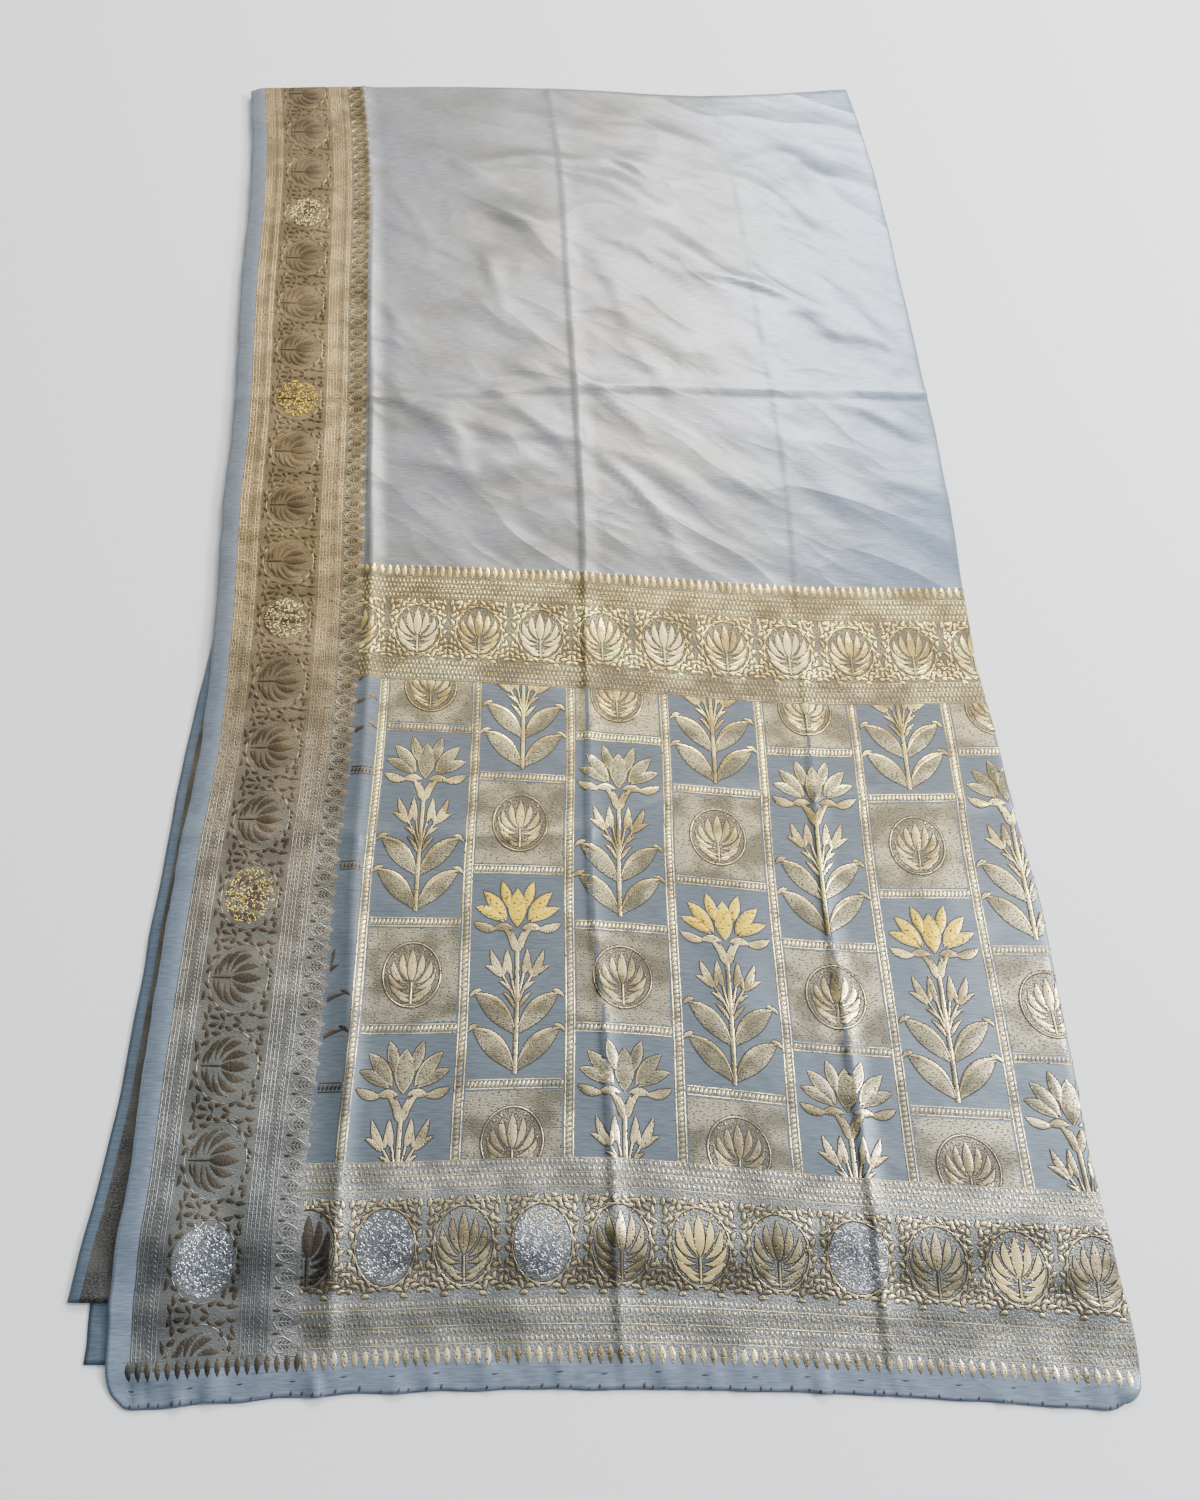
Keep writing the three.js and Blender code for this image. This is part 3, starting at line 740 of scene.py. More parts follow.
def lay_tree():
    tree, given = new_tree("Lay on the cloth", {"Cloth": "Object", "Lift": "Float"})
    cloth = add(tree, "GeometryNodeObjectInfo", {"Object": given["Cloth"]}).outputs["Geometry"]
    position = add(tree, "GeometryNodeInputPosition").outputs[0]
    kept = add(tree, "GeometryNodeStoreNamedAttribute",
               {"Geometry": given["Geometry"], "Name": "cloth", "Value": position},
               data_type="FLOAT2", domain="CORNER")
    found = []
    for value in (position, named(tree, "cloth_up")):
        sample = {"Mesh": cloth, "Value": value, "UV Map": named(tree, "cloth"), "Sample UV": position}
        found.append(add(tree, "GeometryNodeSampleUVSurface", sample, data_type="FLOAT_VECTOR").outputs)
    off_cloth = add(tree, "FunctionNodeBooleanMath", {0: found[0]["Is Valid"]}, operation="NOT")
    caught = add(tree, "GeometryNodeCaptureAttribute", {"Geometry": kept.outputs[0]})
    for name, kind, value in (("Place", "VECTOR", found[0][0]), ("Up", "VECTOR", found[1][0]),
                              ("Off cloth", "BOOLEAN", off_cloth.outputs[0])):
        caught.capture_items.new(kind, name)
        tree.links.new(value, caught.inputs[name])
    inside = add(tree, "GeometryNodeDeleteGeometry",
                 {"Geometry": caught.outputs["Geometry"], "Selection": caught.outputs["Off cloth"]})
    height = add(tree, "ShaderNodeSeparateXYZ", {0: position}).outputs["Z"]
    lifted = maths(tree, "ADD", height, given["Lift"])
    up = add(tree, "ShaderNodeVectorMath", {0: caught.outputs["Up"]}, operation="NORMALIZE").outputs[0]
    place = vector(tree, "ADD", caught.outputs["Place"], vector(tree, "SCALE", up, lifted))
    placed = add(tree, "GeometryNodeSetPosition", {"Geometry": inside.outputs[0], "Position": place})
    return end_tree(tree, placed.outputs[0], given["Material"])


REPEAT = repeat_tree()
LAY = lay_tree()
print("trees:", [tree.name for tree in bpy.data.node_groups])


# %% Running a tree
def run_tree(shape_mesh, tree, values):
    """A mesh through a node tree, as a plain mesh. values are by input name."""
    carrier = show(bpy.data.objects.new("carrier", shape_mesh))
    modifier = carrier.modifiers.new("tree", "NODES")
    modifier.node_group = tree
    for item in tree.interface.items_tree:
        if item.in_out == "INPUT" and item.name in values:
            modifier[item.identifier] = values[item.name]
    graph = bpy.context.evaluated_depsgraph_get()
    result = bpy.data.meshes.new_from_object(carrier.evaluated_get(graph), depsgraph=graph)
    hide_away(carrier)
    return result


def mesh_of(shape):
    """A flat shape in millimetres as a mesh in metres."""
    mesh = bpy.data.meshes.new("flat")
    mesh.from_pydata((shape[0] * MM).tolist(), [], shape[1].tolist())
    return mesh


def shape_of(mesh):
    points = np.zeros(len(mesh.vertices) * 3, np.float32)
    mesh.vertices.foreach_get("co", points)
    mesh.calc_loop_triangles()
    faces = np.zeros(len(mesh.loop_triangles) * 3, np.int32)
    mesh.loop_triangles.foreach_get("vertices", faces)
    bpy.data.meshes.remove(mesh)
    return points.reshape(-1, 3).astype(float) / MM, faces.reshape(-1, 3)


def repeat(shape, start, step, count, row_step=(0, 0), rows=1, stagger=(0, 0)):
    """The shape again and again, with places and steps in millimetres of u and v."""
    values = {"Count": count, "Rows": rows}
    for name, pairs in (("Start", start), ("Step", step), ("Row step", row_step), ("Stagger", stagger)):
        values[name] = (pairs[0] * MM, pairs[1] * MM, 0.0)
    return shape_of(run_tree(mesh_of(shape), REPEAT, values))


def clipped(shape, low=(-1, -1), high=(BEYOND, BEYOND)):
    """The part of a flat shape inside a rectangle of u and v."""
    cut = bmesh.new()
    mesh = mesh_of(shape)
    cut.from_mesh(mesh)
    bpy.data.meshes.remove(mesh)
    for corner, way in ((low, (-1, 0, 0)), (low, (0, -1, 0)), (high, (1, 0, 0)), (high, (0, 1, 0))):
        bmesh.ops.bisect_plane(
            cut, geom=cut.verts[:] + cut.edges[:] + cut.faces[:], clear_outer=True, dist=1e-7,
            plane_co=(corner[0] * MM, corner[1] * MM, 0), plane_no=way)
    result = bpy.data.meshes.new("clipped")
    cut.to_mesh(result)
    cut.free()
    return shape_of(result)


def woven_piece(name, shapes, material, lift=0.12):
    """Lays flat shapes on the top lay as one named piece."""
    values = {"Cloth": top_lay, "Lift": lift * MM, "Material": material}
    mesh = run_tree(mesh_of(join(*shapes)), LAY, values)
    mesh.name = name
    smooth(mesh)
    piece = show(bpy.data.objects.new(name, mesh))
    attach(piece, "root")
    print(name, "faces:", len(mesh.polygons))
    return piece


# %% [markdown]
# ## Silk and metal thread
# The ground is a silk satin: smooth, softly glossy, with a slubby weft that shows as short streaks
# across the cloth. The zari is a silk core wound with flat gilt wire, so it is metal: bright where
# it mirrors the window and brown where it mirrors the room. Both share one weaving recipe, read
# from the cloth's own map in millimetres. In it the colours of both move from near to far up the
# cloth as painted reflection, and soft patches of painted sheen brighten and darken the gilt. Two
# relief maps add what is too small for the mesh: the threads, and the fine slanting creases of worn silk.

# %% Material recipe
def cloth_mm(tree):
    """u and v of the cloth in millimetres."""
    return vector(tree, "SCALE", add(tree, "ShaderNodeUVMap", uv_map="cloth").outputs[0], 1000.0)


def thread_noise(tree, place, across, lengthwise, detail=2.0):
    """Noise with lumps so many millimetres long across and along the cloth."""
    scaled = vector(tree, "MULTIPLY", place, (1 / across, 1 / lengthwise, 1.0))
    noises = add(tree, "ShaderNodeTexNoise", {"Vector": scaled, "Scale": 1.0, "Detail": detail})
    return noises.outputs["Fac"]


def ramp(tree, value, low, high, to_low=0.0, to_high=1.0):
    return add(tree, "ShaderNodeMapRange",
               {"Value": value, "From Min": low, "From Max": high, "To Min": to_low, "To Max": to_high},
               interpolation_type="SMOOTHSTEP").outputs["Result"]


def mix(tree, factor, one, other):
    return add(tree, "ShaderNodeMix", {0: factor, 6: one, 7: other}, data_type="RGBA").outputs[2]


def crumple(tree, place):
    """Fine slanting creases: each noise turns sharply where it crosses its middle."""
    turned = add(tree, "ShaderNodeVectorRotate", {"Vector": place, "Angle": math.radians(32)},
                 rotation_type="Z_AXIS").outputs[0]
    folds = []
    for across, lengthwise, share in ((170.0, 62.0, 1.0), (48.0, 20.0, 0.16)):
        level = thread_noise(tree, turned, across, lengthwise, 1.0)
        fold = maths(tree, "ABSOLUTE", maths(tree, "SUBTRACT", level, 0.5))
        folds.append(maths(tree, "MULTIPLY", fold, -share))
    return maths(tree, "ADD", *folds)


def woven(name, silk, gold=None, cover=0.0, grain=(1.5, 1.0), relief=0.08, gloss=0.34, metal=0.95,
          satin=0.45, painted_shade_and_reflection=None, creased=2.2, patchy=(0.55, 1.3)):
    """Silk with gold thread over a share of it. silk and gold are the colours near and far, and the
    change between them up the cloth is painted reflection. A third pair of colours, when given, is
    painted shade in soft patches and a painted reflection that grows towards the right side. creased
    is how deep its fine creases are in millimetres, and patchy how far painted sheen on the gold
    brightens and darkens it."""
    material = bpy.data.materials.new(name)
    material.use_nodes = True
    tree = material.node_tree
    tree.nodes.clear()
    place = cloth_mm(tree)
    v = add(tree, "ShaderNodeSeparateXYZ", {0: place}).outputs["Y"]
    # Painted reflection: the colours move from the near colour to the far colour up the cloth, as if the
    # far part mirrored the window.
    far = ramp(tree, v, 40, 560)
    slub = thread_noise(tree, place, 9.0, 0.7)
    long_slub = ramp(tree, thread_noise(tree, place, 38.0, 0.9, 1.0), 0.58, 0.72, 0.0, 0.2)
    short_slub = ramp(tree, slub, 0.35, 0.68, 0.8, 1.1)
    streak = maths(tree, "SUBTRACT", short_slub, long_slub)
    colour = mix(tree, far, linear(silk[0]), linear(silk[1]))
    # Painted shade in soft warm patches, and a painted reflection that grows towards the right side.
    if painted_shade_and_reflection:
        patches = ramp(tree, thread_noise(tree, place, 95.0, 60.0, 3.0), 0.4, 0.62)
        colour = mix(tree, patches, colour, linear(painted_shade_and_reflection[0]))
        u = add(tree, "ShaderNodeSeparateXYZ", {0: place}).outputs["X"]
        colour = mix(tree, ramp(tree, u, 300, 620, 0.0, 0.8), colour, linear(painted_shade_and_reflection[1]))
    colour = vector(tree, "SCALE", colour, streak)
    finish = {"Roughness": gloss, "IOR": 1.5, "Metallic": satin, "Anisotropic": 0.5}
    finish["Tangent"] = add(tree, "ShaderNodeTangent", direction_type="UV_MAP", uv_map="cloth").outputs[0]
    height = maths(tree, "MULTIPLY", slub, 0.5)
    if gold:
        speck = thread_noise(tree, place, *grain, detail=1.0)
        middle = 0.5 + (0.5 - cover) * 0.55
        thread = ramp(tree, speck, middle - 0.05, middle + 0.05)
        # Painted sheen: soft patches brighten and darken the gilt, standing in for the window's
        # reflection on the metal. The gilt also moves from near to far as painted reflection.
        painted_sheen = thread_noise(tree, place, 30.0, 24.0)
        gilt = mix(tree, far, linear(gold[0]), linear(gold[1]))
        tone = ramp(tree, painted_sheen, 0.38, 0.62, *patchy)
        gilt = vector(tree, "SCALE", gilt, tone)
        colour = mix(tree, thread, colour, gilt)
        finish["Metallic"] = ramp(tree, thread, 0.0, 1.0, satin, metal)
        height = maths(tree, "ADD", height, maths(tree, "MULTIPLY", thread, 0.6))
    folds = add(tree, "ShaderNodeBump", {"Height": crumple(tree, place), "Distance": creased * MM})
    threads = add(tree, "ShaderNodeBump", {
        "Height": height, "Strength": 0.7, "Distance": relief * MM, "Normal": folds.outputs[0]})
    finish.update({"Base Color": colour, "Normal": threads.outputs[0]})
    shader = add(tree, "ShaderNodeBsdfPrincipled", finish)
    add(tree, "ShaderNodeOutputMaterial", {0: shader.outputs[0]})
    return material


# %% The silks
# Each pair of colours is near, far: the change between them up the cloth is painted reflection.
# Undyed-looking grey satin, piece woven with a heavy twisted weft.
# Its last pair of colours is painted shade in warm-grey patches and a painted blue reflection towards the
# right side.
field_silk = woven("field_silk", ("#80868D", "#89898D"), relief=0.18, gloss=0.36,
                   painted_shade_and_reflection=("#7D7C76", "#7488A0"), creased=4.8)
# The same satin with a blue warp, which shows more at the end piece.
pallu_silk = woven("pallu_silk", ("#667078", "#6B7278"), relief=0.14, gloss=0.4)
# The end strip, not yet crossed by any gilt.
hem_silk = woven("hem_silk", ("#8390A0", "#8390A0"), gloss=0.3, satin=0.5)
# Warp-faced selvedge, closer set and smoother.
selvedge_silk = woven("selvedge_silk", ("#8E9EB0", "#858D94"), gloss=0.34)
# The blue selvedge and warp side that the lower lays show.
lower_silk = woven("lower_silk", ("#62717F", "#6A7783"), gloss=0.42)
# Dark sewing thread of the hem.
hem_thread = woven("hem_thread", ("#47464A", "#47464A"), gloss=0.6)
# Painted shade: a very dark silk laid flat along the edge of each motif, where the shade beside the
# raised thread falls.
painted_edge_shade = woven("painted_edge_shade", ("#332F2A", "#463D2E"), gloss=0.7, satin=0.0)

# %% Silk covered with metal thread
# Each pair of colours is near, far: the change between them is painted reflection, and patchy sets the
# painted sheen on the gilt.
# Gilt weft over most of the ground, tied down every few threads.
border_cloth = woven("border_cloth", ("#666D74", "#5C5342"), ("#868780", "#7F6E4E"), 0.66, (2.4, 0.9),
                     0.14, patchy=(0.8, 1.15))
stripe_cloth = woven("stripe_cloth", ("#5A6066", "#574D3C"), ("#7E7F7A", "#8A7755"), 0.6, (0.9, 3.2),
                     0.16, patchy=(0.8, 1.4))
# The end piece's bands: silver-grey silk nearly hidden by dull gilt, flecked all over.
band_cloth = woven("band_cloth", ("#75797C", "#5E574A"), ("#A7A59B", "#877A58"), 0.5, (1.3, 1.3), 0.18,
                   patchy=(0.65, 1.3))
# Closer set in the square cells, so that hardly any silk shows.
cell_cloth = woven("cell_cloth", ("#5C5C58", "#65614F"), ("#9F9884", "#B4A67E"), 0.66, (1.9, 0.9), 0.36,
                   0.32)
# Silk left bare round the flowers of the cells, in the shade of the thread about it.
shade_cloth = woven("shade_cloth", ("#55544F", "#5F5B4E"), ("#938B76", "#A0936E"), 0.5, (1.2, 1.0), 0.2)
# The ground of the silver roundels, where little gilt shows.
silver_ground = woven("silver_ground", ("#74787C", "#787A79"), ("#9A9DA0", "#A2A3A1"), 0.55, (1.2, 1.0),
                      0.2)
# The gold strip of the lower lays, worn dull.
lower_band = woven("lower_band", ("#5A5C5E", "#605C52"), ("#6E675A", "#7A6A4C"), 0.5, (1.4, 0.9), 0.1)

# %% The metal thread of the motifs
# Each pair of colours is near, far: the change between them is painted reflection, and patchy sets the
# painted sheen on the gilt.
# Gilt weft floats, beaten flat in finishing.
bright_thread = woven("bright_thread", ("#5A4E3A", "#6A5430"), ("#D2C096", "#F2D07C"), 0.72, (1.1, 2.0),
                      0.3, 0.28, patchy=(0.5, 1.5))
# The same gilt woven flat and close in the border, so duller.
border_thread = woven("border_thread", ("#6C6D6A", "#776746"), ("#929390", "#B0976A"), 0.7, (1.0, 1.8),
                      0.16, 0.34, patchy=(0.8, 1.25))
# Gilt floats tied down often, so that silk shows between them.
speckled_thread = woven("speckled_thread", ("#595B5C", "#605E54"), ("#A69B7C", "#B4A77C"), 0.62,
                        (1.6, 0.9), 0.32, 0.3)
# Dark brown gilt of the border's flowers and leaves. The pallu's threads left of the first rope take it
# too, as painted shade.
brown_gilt_and_shade_thread = woven("brown_gilt_and_shade_thread", ("#4A443B", "#4A3F2E"), ("#665D50", "#6A563C"), 0.6, (1.0, 1.4), 0.14)
# Bright yellow silk and gold in one row of lotuses.
yellow_thread = woven("yellow_thread", ("#7A5E22", "#7A5E22"), ("#FFD430", "#FFD63A"), 0.68, (2.2, 1.4),
                      0.26, metal=0.45, patchy=(0.95, 1.2))
# Gilt with little gold on it, nearly white, in the roundels that shine most.
pale_thread = woven("pale_thread", ("#A08650", "#A08650"), ("#FFE49C", "#FFE6A2"), 0.8, (1.0, 1.4), 0.24,
                    0.3, metal=0.55, patchy=(0.85, 1.1))
# Flat silver-gilt wire in the bright roundels.
silver_thread = woven("silver_thread", ("#D2DAE4", "#D6D6D0"), ("#F4F8FF", "#FAF8F0"), 0.8, (1.0, 1.0),
                      0.08, 0.2, patchy=(0.8, 1.2))

# %% The top lay's materials
for piece_material in (selvedge_silk, stripe_cloth, border_cloth, stripe_cloth, band_cloth, band_cloth,
                       pallu_silk, field_silk, hem_silk):
    top_lay.data.materials.append(piece_material)
print("woven areas of the top lay:", dict(zip(TOP_SLOTS, top_lay.data.materials.keys())))

# %% [markdown]
# ## The pattern of the pallu
# Ropes divide the end piece into cells. In each column a tall cell with a lotus plant takes turns
# with a square cell with a small lotus in a ring, and the next column is half a repeat lower. Left
# of the first rope, beside the border, the same threads are drawn in dark thread: painted shade for
# the shaded flank of the border crease. Above and below runs a band of roundels between fine rows
# and a row of teeth. Some roundels are worked in silver or pale gold.

# %% Grid of cells
COLUMN = 67.0
REPEAT_V = 202.0
SQUARE_V = dict(even=229.0, odd=129.0)
PLANT_V = dict(even=67.0, odd=168.0)
GRID_LOW = (111.5, BAND_LOW)
GRID_HIGH = (700.0, BAND_HIGH)


def patch(wide, tall, steps=20, high=0.05):
    """A flat speckled rectangle about the origin."""
    u, v = np.meshgrid(np.linspace(-wide / 2, wide / 2, steps), np.linspace(-tall / 2, tall / 2, steps))
    return flat_grid(u, v, high)


def in_cells(shape, place_v):
    """The shape in every other column, and in the columns between, each set at its own heights."""
    sets = []
    for first, name in ((0, "even"), (-1, "odd")):
        start = (ROPE_U + COLUMN * (first + 0.5), place_v[name])
        sets.append(repeat(shape, start, (2 * COLUMN, 0), 4, (0, REPEAT_V), 2))
    return [clipped(one, GRID_LOW, GRID_HIGH) for one in sets]


def ropes():
    strand = leaf((-1.7, -1.6), (1.7, 1.6), 2.1, 0, 0.5, 4, 0.5)
    up = repeat(strand, (ROPE_U, BAND_LOW), (0, 3.0), 106, (COLUMN, 0), 7)
    edge = line([(-2.6, BAND_LOW), (-2.6, BAND_HIGH)], 0.9, 0.25, 2.5)
    other_edge = moved(edge, 5.2, 0)
    edges = repeat(join(edge, other_edge), (ROPE_U, 0), (COLUMN, 0), 7)
    flat_strand = leaf((-1.0, -2.0), (1.0, 2.0), 1.7, 0, 0.5, 4, 0.45)
    row = repeat(flat_strand, (-28.5, 0), (2.6, 0), 23)
    rail = line([(-29.5, -2.6), (29.5, -2.6)], 0.7, 0.2, 2.5)
    rung = join(row, rail, moved(rail, 0, 5.2))
    rungs = []
    for shift in (-33.0, 33.0):
        rungs += in_cells(moved(rung, 0, shift), SQUARE_V)
    return [clipped(join(up, edges), GRID_LOW, GRID_HIGH)] + rungs


def past_rope(shapes):
    """The part right of the first rope."""
    return [clipped(shape, (ROPE_U - 3, 0)) for shape in shapes]


def beside_border(shapes):
    """The part in the first column, left of the first rope."""
    return [clipped(shape, (0, 0), (ROPE_U - 3, BEYOND)) for shape in shapes]


grid_patches = in_cells(patch(58.5, 58), SQUARE_V)
grid_discs = in_cells(disc(36, 39, high=0.16), SQUARE_V)
cell_flower = join(roundel_flower(33, 36), roundel_ring(37.5, 40.5))
grid_flowers = in_cells(cell_flower, SQUARE_V)
# Dark flat copies under the cell flowers and the plants: painted shade at their edges.
flower_edges = in_cells(shade_copy(cell_flower, 0.65), SQUARE_V)
plant_edges = in_cells(shade_copy(join(plant_threads(), plant_fill(), lotus())), PLANT_V)
grid_threads = in_cells(plant_threads(), PLANT_V)
grid_fill = in_cells(plant_fill(), PLANT_V)
grid_lotus = in_cells(lotus(), PLANT_V)
plain_fill, yellow_fill = in_cells(lotus_fill(), PLANT_V)
cell_ropes = ropes()
print("triangles in the plants:", sum(len(faces) for points, faces in grid_threads))

# %% Bands of roundels
LOW_BAND = dict(first=113.5, pitch=44.9, middle=74.0)
HIGH_BAND = dict(first=106.5, pitch=45.5, middle=478.0)
BAND_DEPTH = 53.0
ROUNDEL = (35.5, 43.0)
# Which roundels of a band shine, counted from the border.
BAND_BRIGHT = {
    "silver": [(LOW_BAND, k) for k in (1, 3, 7)],
    "pale": [(HIGH_BAND, k) for k in (1, 3, 5, 7)] + [(LOW_BAND, k) for k in (5, 9)],
}


def band_shapes(band):
    """The flowers in their rings, the leaves round them and painted shade at the edges of both, along one
    band.
    """
    flowers = join(roundel_flower(34, 40), roundel_ring(*ROUNDEL))
    leaves = foliage(band["pitch"], BAND_DEPTH, *ROUNDEL, 11, 1.05)
    edges = shade_copy(join(flowers, leaves), 0.6)
    start, step = (band["first"], band["middle"]), (band["pitch"], 0)
    return [clipped(repeat(shape, start, step, 11), (110, 0)) for shape in (flowers, leaves, edges)]


def glitter_at(places, wide, tall, count, seed):
    """Glitter at each place, with a seed of its own."""
    return [moved(glitter(wide, tall, count, seed + k), u, v) for k, (u, v) in enumerate(places)]


def fine_rows():
    """Rows of short ticks, and a thin line under every other row."""
    left, right = 110.5, 575.0
    tick = leaf((0, 0), (0, 2.9), 1.5, 0, 0.5, 3, 0.3)
    rule = line([(left, 0), (right, 0)], 0.35, 0.15, 3.0)
    rows = []
    for first, count, step in ((24.0, 5, 4.6), (104.5, 4, 3.9), (437.0, 4, 3.9), (506.0, 4, 4.2)):
        rows.append(repeat(tick, (left, first), (2.9, 0), 162, (0, step), count, (1.45, 0)))
        rows.append(repeat(rule, (0, first - 0.7), (0, step * 2), (count + 2) // 2))
    return rows


LOW_TOOTH = leaf((0, 22), (0, 12.5), 3.6, 0, 0.5, 5, 0.5)
HIGH_TOOTH = leaf((0, 524), (0, 534), 3.4, 0, 0.5, 5, 0.4)
TOOTH_STEP = (5.7, 0)


def teeth():
    return [repeat(LOW_TOOTH, (114.0, 0), TOOTH_STEP, 81), repeat(HIGH_TOOTH, (113.0, 0), TOOTH_STEP, 82)]


low_flowers, low_leaves, low_shade_edges = band_shapes(LOW_BAND)
high_flowers, high_leaves, high_shade_edges = band_shapes(HIGH_BAND)
bright_places = {
    metal: [(band["first"] + band["pitch"] * k, band["middle"]) for band, k in places]
    for metal, places in BAND_BRIGHT.items()}
band_silver = glitter_at(bright_places["silver"], *ROUNDEL, 330, 20)
band_silver += glitter_at(bright_places["pale"][-1:], 30, 40, 50, 40)
band_gold = [moved(glitter(26, 18, 40, 50), LOW_BAND["first"] + 3 * LOW_BAND["pitch"] + 2, 84)]
print("bright roundels in the bands:", bright_places)

# %% [markdown]
# ## The pattern of the border
# The border runs the whole length: striped gold with dots and stitches between its lines, a row of
# roundels whose flowers point to the field with leaves all round them, striped gold again, and a
# net of small ogees. A few of its roundels are worked in silver, yellow or pale gold.

# %% Border
BORDER_PITCH = 51.94
BORDER_FIRST = 17.06
BORDER_MIDDLE = 53.0
BORDER_ROUNDEL = (43.0, 39.0)
# The strip of roundels, between the striped gold on either side.
STRIP_LOW, STRIP_HIGH = (30.5, 23), (75.5, 1075)
# Which roundels of the border shine, counted from the hem.
BORDER_BRIGHT = {"silver": (1,), "gold": (5, 13), "pale": (9, 17)}


def border_row(shape):
    """A shape drawn upright, turned to point at the field, at every roundel of the border."""
    turned = moved(shape, turn=-90)
    row = repeat(turned, (BORDER_MIDDLE, BORDER_FIRST), (0, BORDER_PITCH), 21)
    return clipped(row, STRIP_LOW, STRIP_HIGH)


def border_lines():
    """The striped gold: thin lines, and between them dots and slanting stitches."""
    rule = line([(0, 22), (0, 1072)], 0.5, 0.2, 3.5)
    rules_u = (15.0, 17.4, 19.8, 26.4, 28.8, 76.8, 79.2, 81.6, 84.0, 90.0, 92.4)
    dots_u = (16.2, 18.6, 27.6, 78.0, 80.4, 82.8, 91.2)
    stitch = leaf((-0.9, -0.7), (0.9, 0.7), 0.9, 0, 0.5, 3, 0.3)
    shapes = [moved(rule, u) for u in rules_u]
    shapes += [repeat(dot(0.5, 0.8), (u, 24), (0, 2.9), 361) for u in dots_u]
    for u, one in ((21.6, stitch), (24.4, flipped(stitch)), (85.8, stitch), (88.2, flipped(stitch))):
        shapes.append(repeat(one, (u, 24), (0, 2.4), 436))
    return shapes


# %% The net of ogees
def along_net(shape):
    return repeat(shape, (0, 26), (0, 11.5), 91)


def ogees():
    """A chain of pointed leaf outlines that point at the field, with an ogee net between them."""
    side = line([(95.0, 0), (97.4, -3.4), (100.8, -4.3), (104.2, -2.6), (108.4, 0)], 0.8, 0.32, 1.6)
    vein = line([(97.0, 0), (105.6, 0)], 0.5, 0.3, 2.9)
    net = line([(101.2, -4.6), (105.4, -5.2), (108.4, -5.75)], 0.6, 0.24, 1.8)
    tip = leaf((105.6, 0), (111.4, 0), 4.2, 0, 0.36, 5, 0.22)
    return along_net(join(both_ways(side), vein, both_ways(net), tip))


def ogee_leaves():
    """The veins inside each outline, and a small leaf between two of them."""
    veins = []
    for k in range(3):
        start, end = (99.0 + 2.2 * k, 0.5), (101.2 + 2.0 * k, 2.6 - 0.6 * k)
        veins.append(leaf(start, end, 1.0, 0, 0.5, 4, 0.26))
    small = leaf((94.6, 5.75), (99.6, 5.75), 1.8, 0, 0.5, 5, 0.26)
    return along_net(join(small, both_ways(join(*veins))))


# %% The border's shapes
border_leaves = border_row(foliage(BORDER_PITCH, 45, *BORDER_ROUNDEL, 5, 1.3))
border_flowers = border_row(roundel_flower(38, 34))
border_teeth = repeat(LOW_TOOTH, (13.0, 0), TOOTH_STEP, 18)
border_rings = border_row(roundel_ring(*BORDER_ROUNDEL, 0.6))
border_bright = {
    metal: [(BORDER_MIDDLE, BORDER_FIRST + BORDER_PITCH * k) for k in rows]
    for metal, rows in BORDER_BRIGHT.items()}
border_silver = glitter_at(border_bright["silver"], 38, 42, 380, 80)
border_gold = glitter_at(border_bright["gold"], 38, 42, 120, 90)
border_gold += glitter_at(border_bright["gold"][1:], 38, 42, 150, 95)
pale_flowers = [moved(roundel_flower(34, 40), u, v) for u, v in bright_places["pale"]]
pale_flowers += glitter_at(bright_places["pale"], *ROUNDEL, 80, 70)
pale_flowers += glitter_at(border_bright["pale"], 36, 40, 260, 60)
pale_flowers += glitter_at(border_bright["gold"][:1], 36, 40, 130, 65)
band_ground = join(disc(33, 40), roundel_flower(31, 37))
bright_grounds = [moved(band_ground, u, v) for u, v in bright_places["silver"]]
border_ground = join(disc(35, 38), roundel_flower(33, 36))
bright_grounds += [moved(border_ground, u, v, -90) for u, v in border_bright["silver"]]
print("bright roundels in the border:", border_bright)

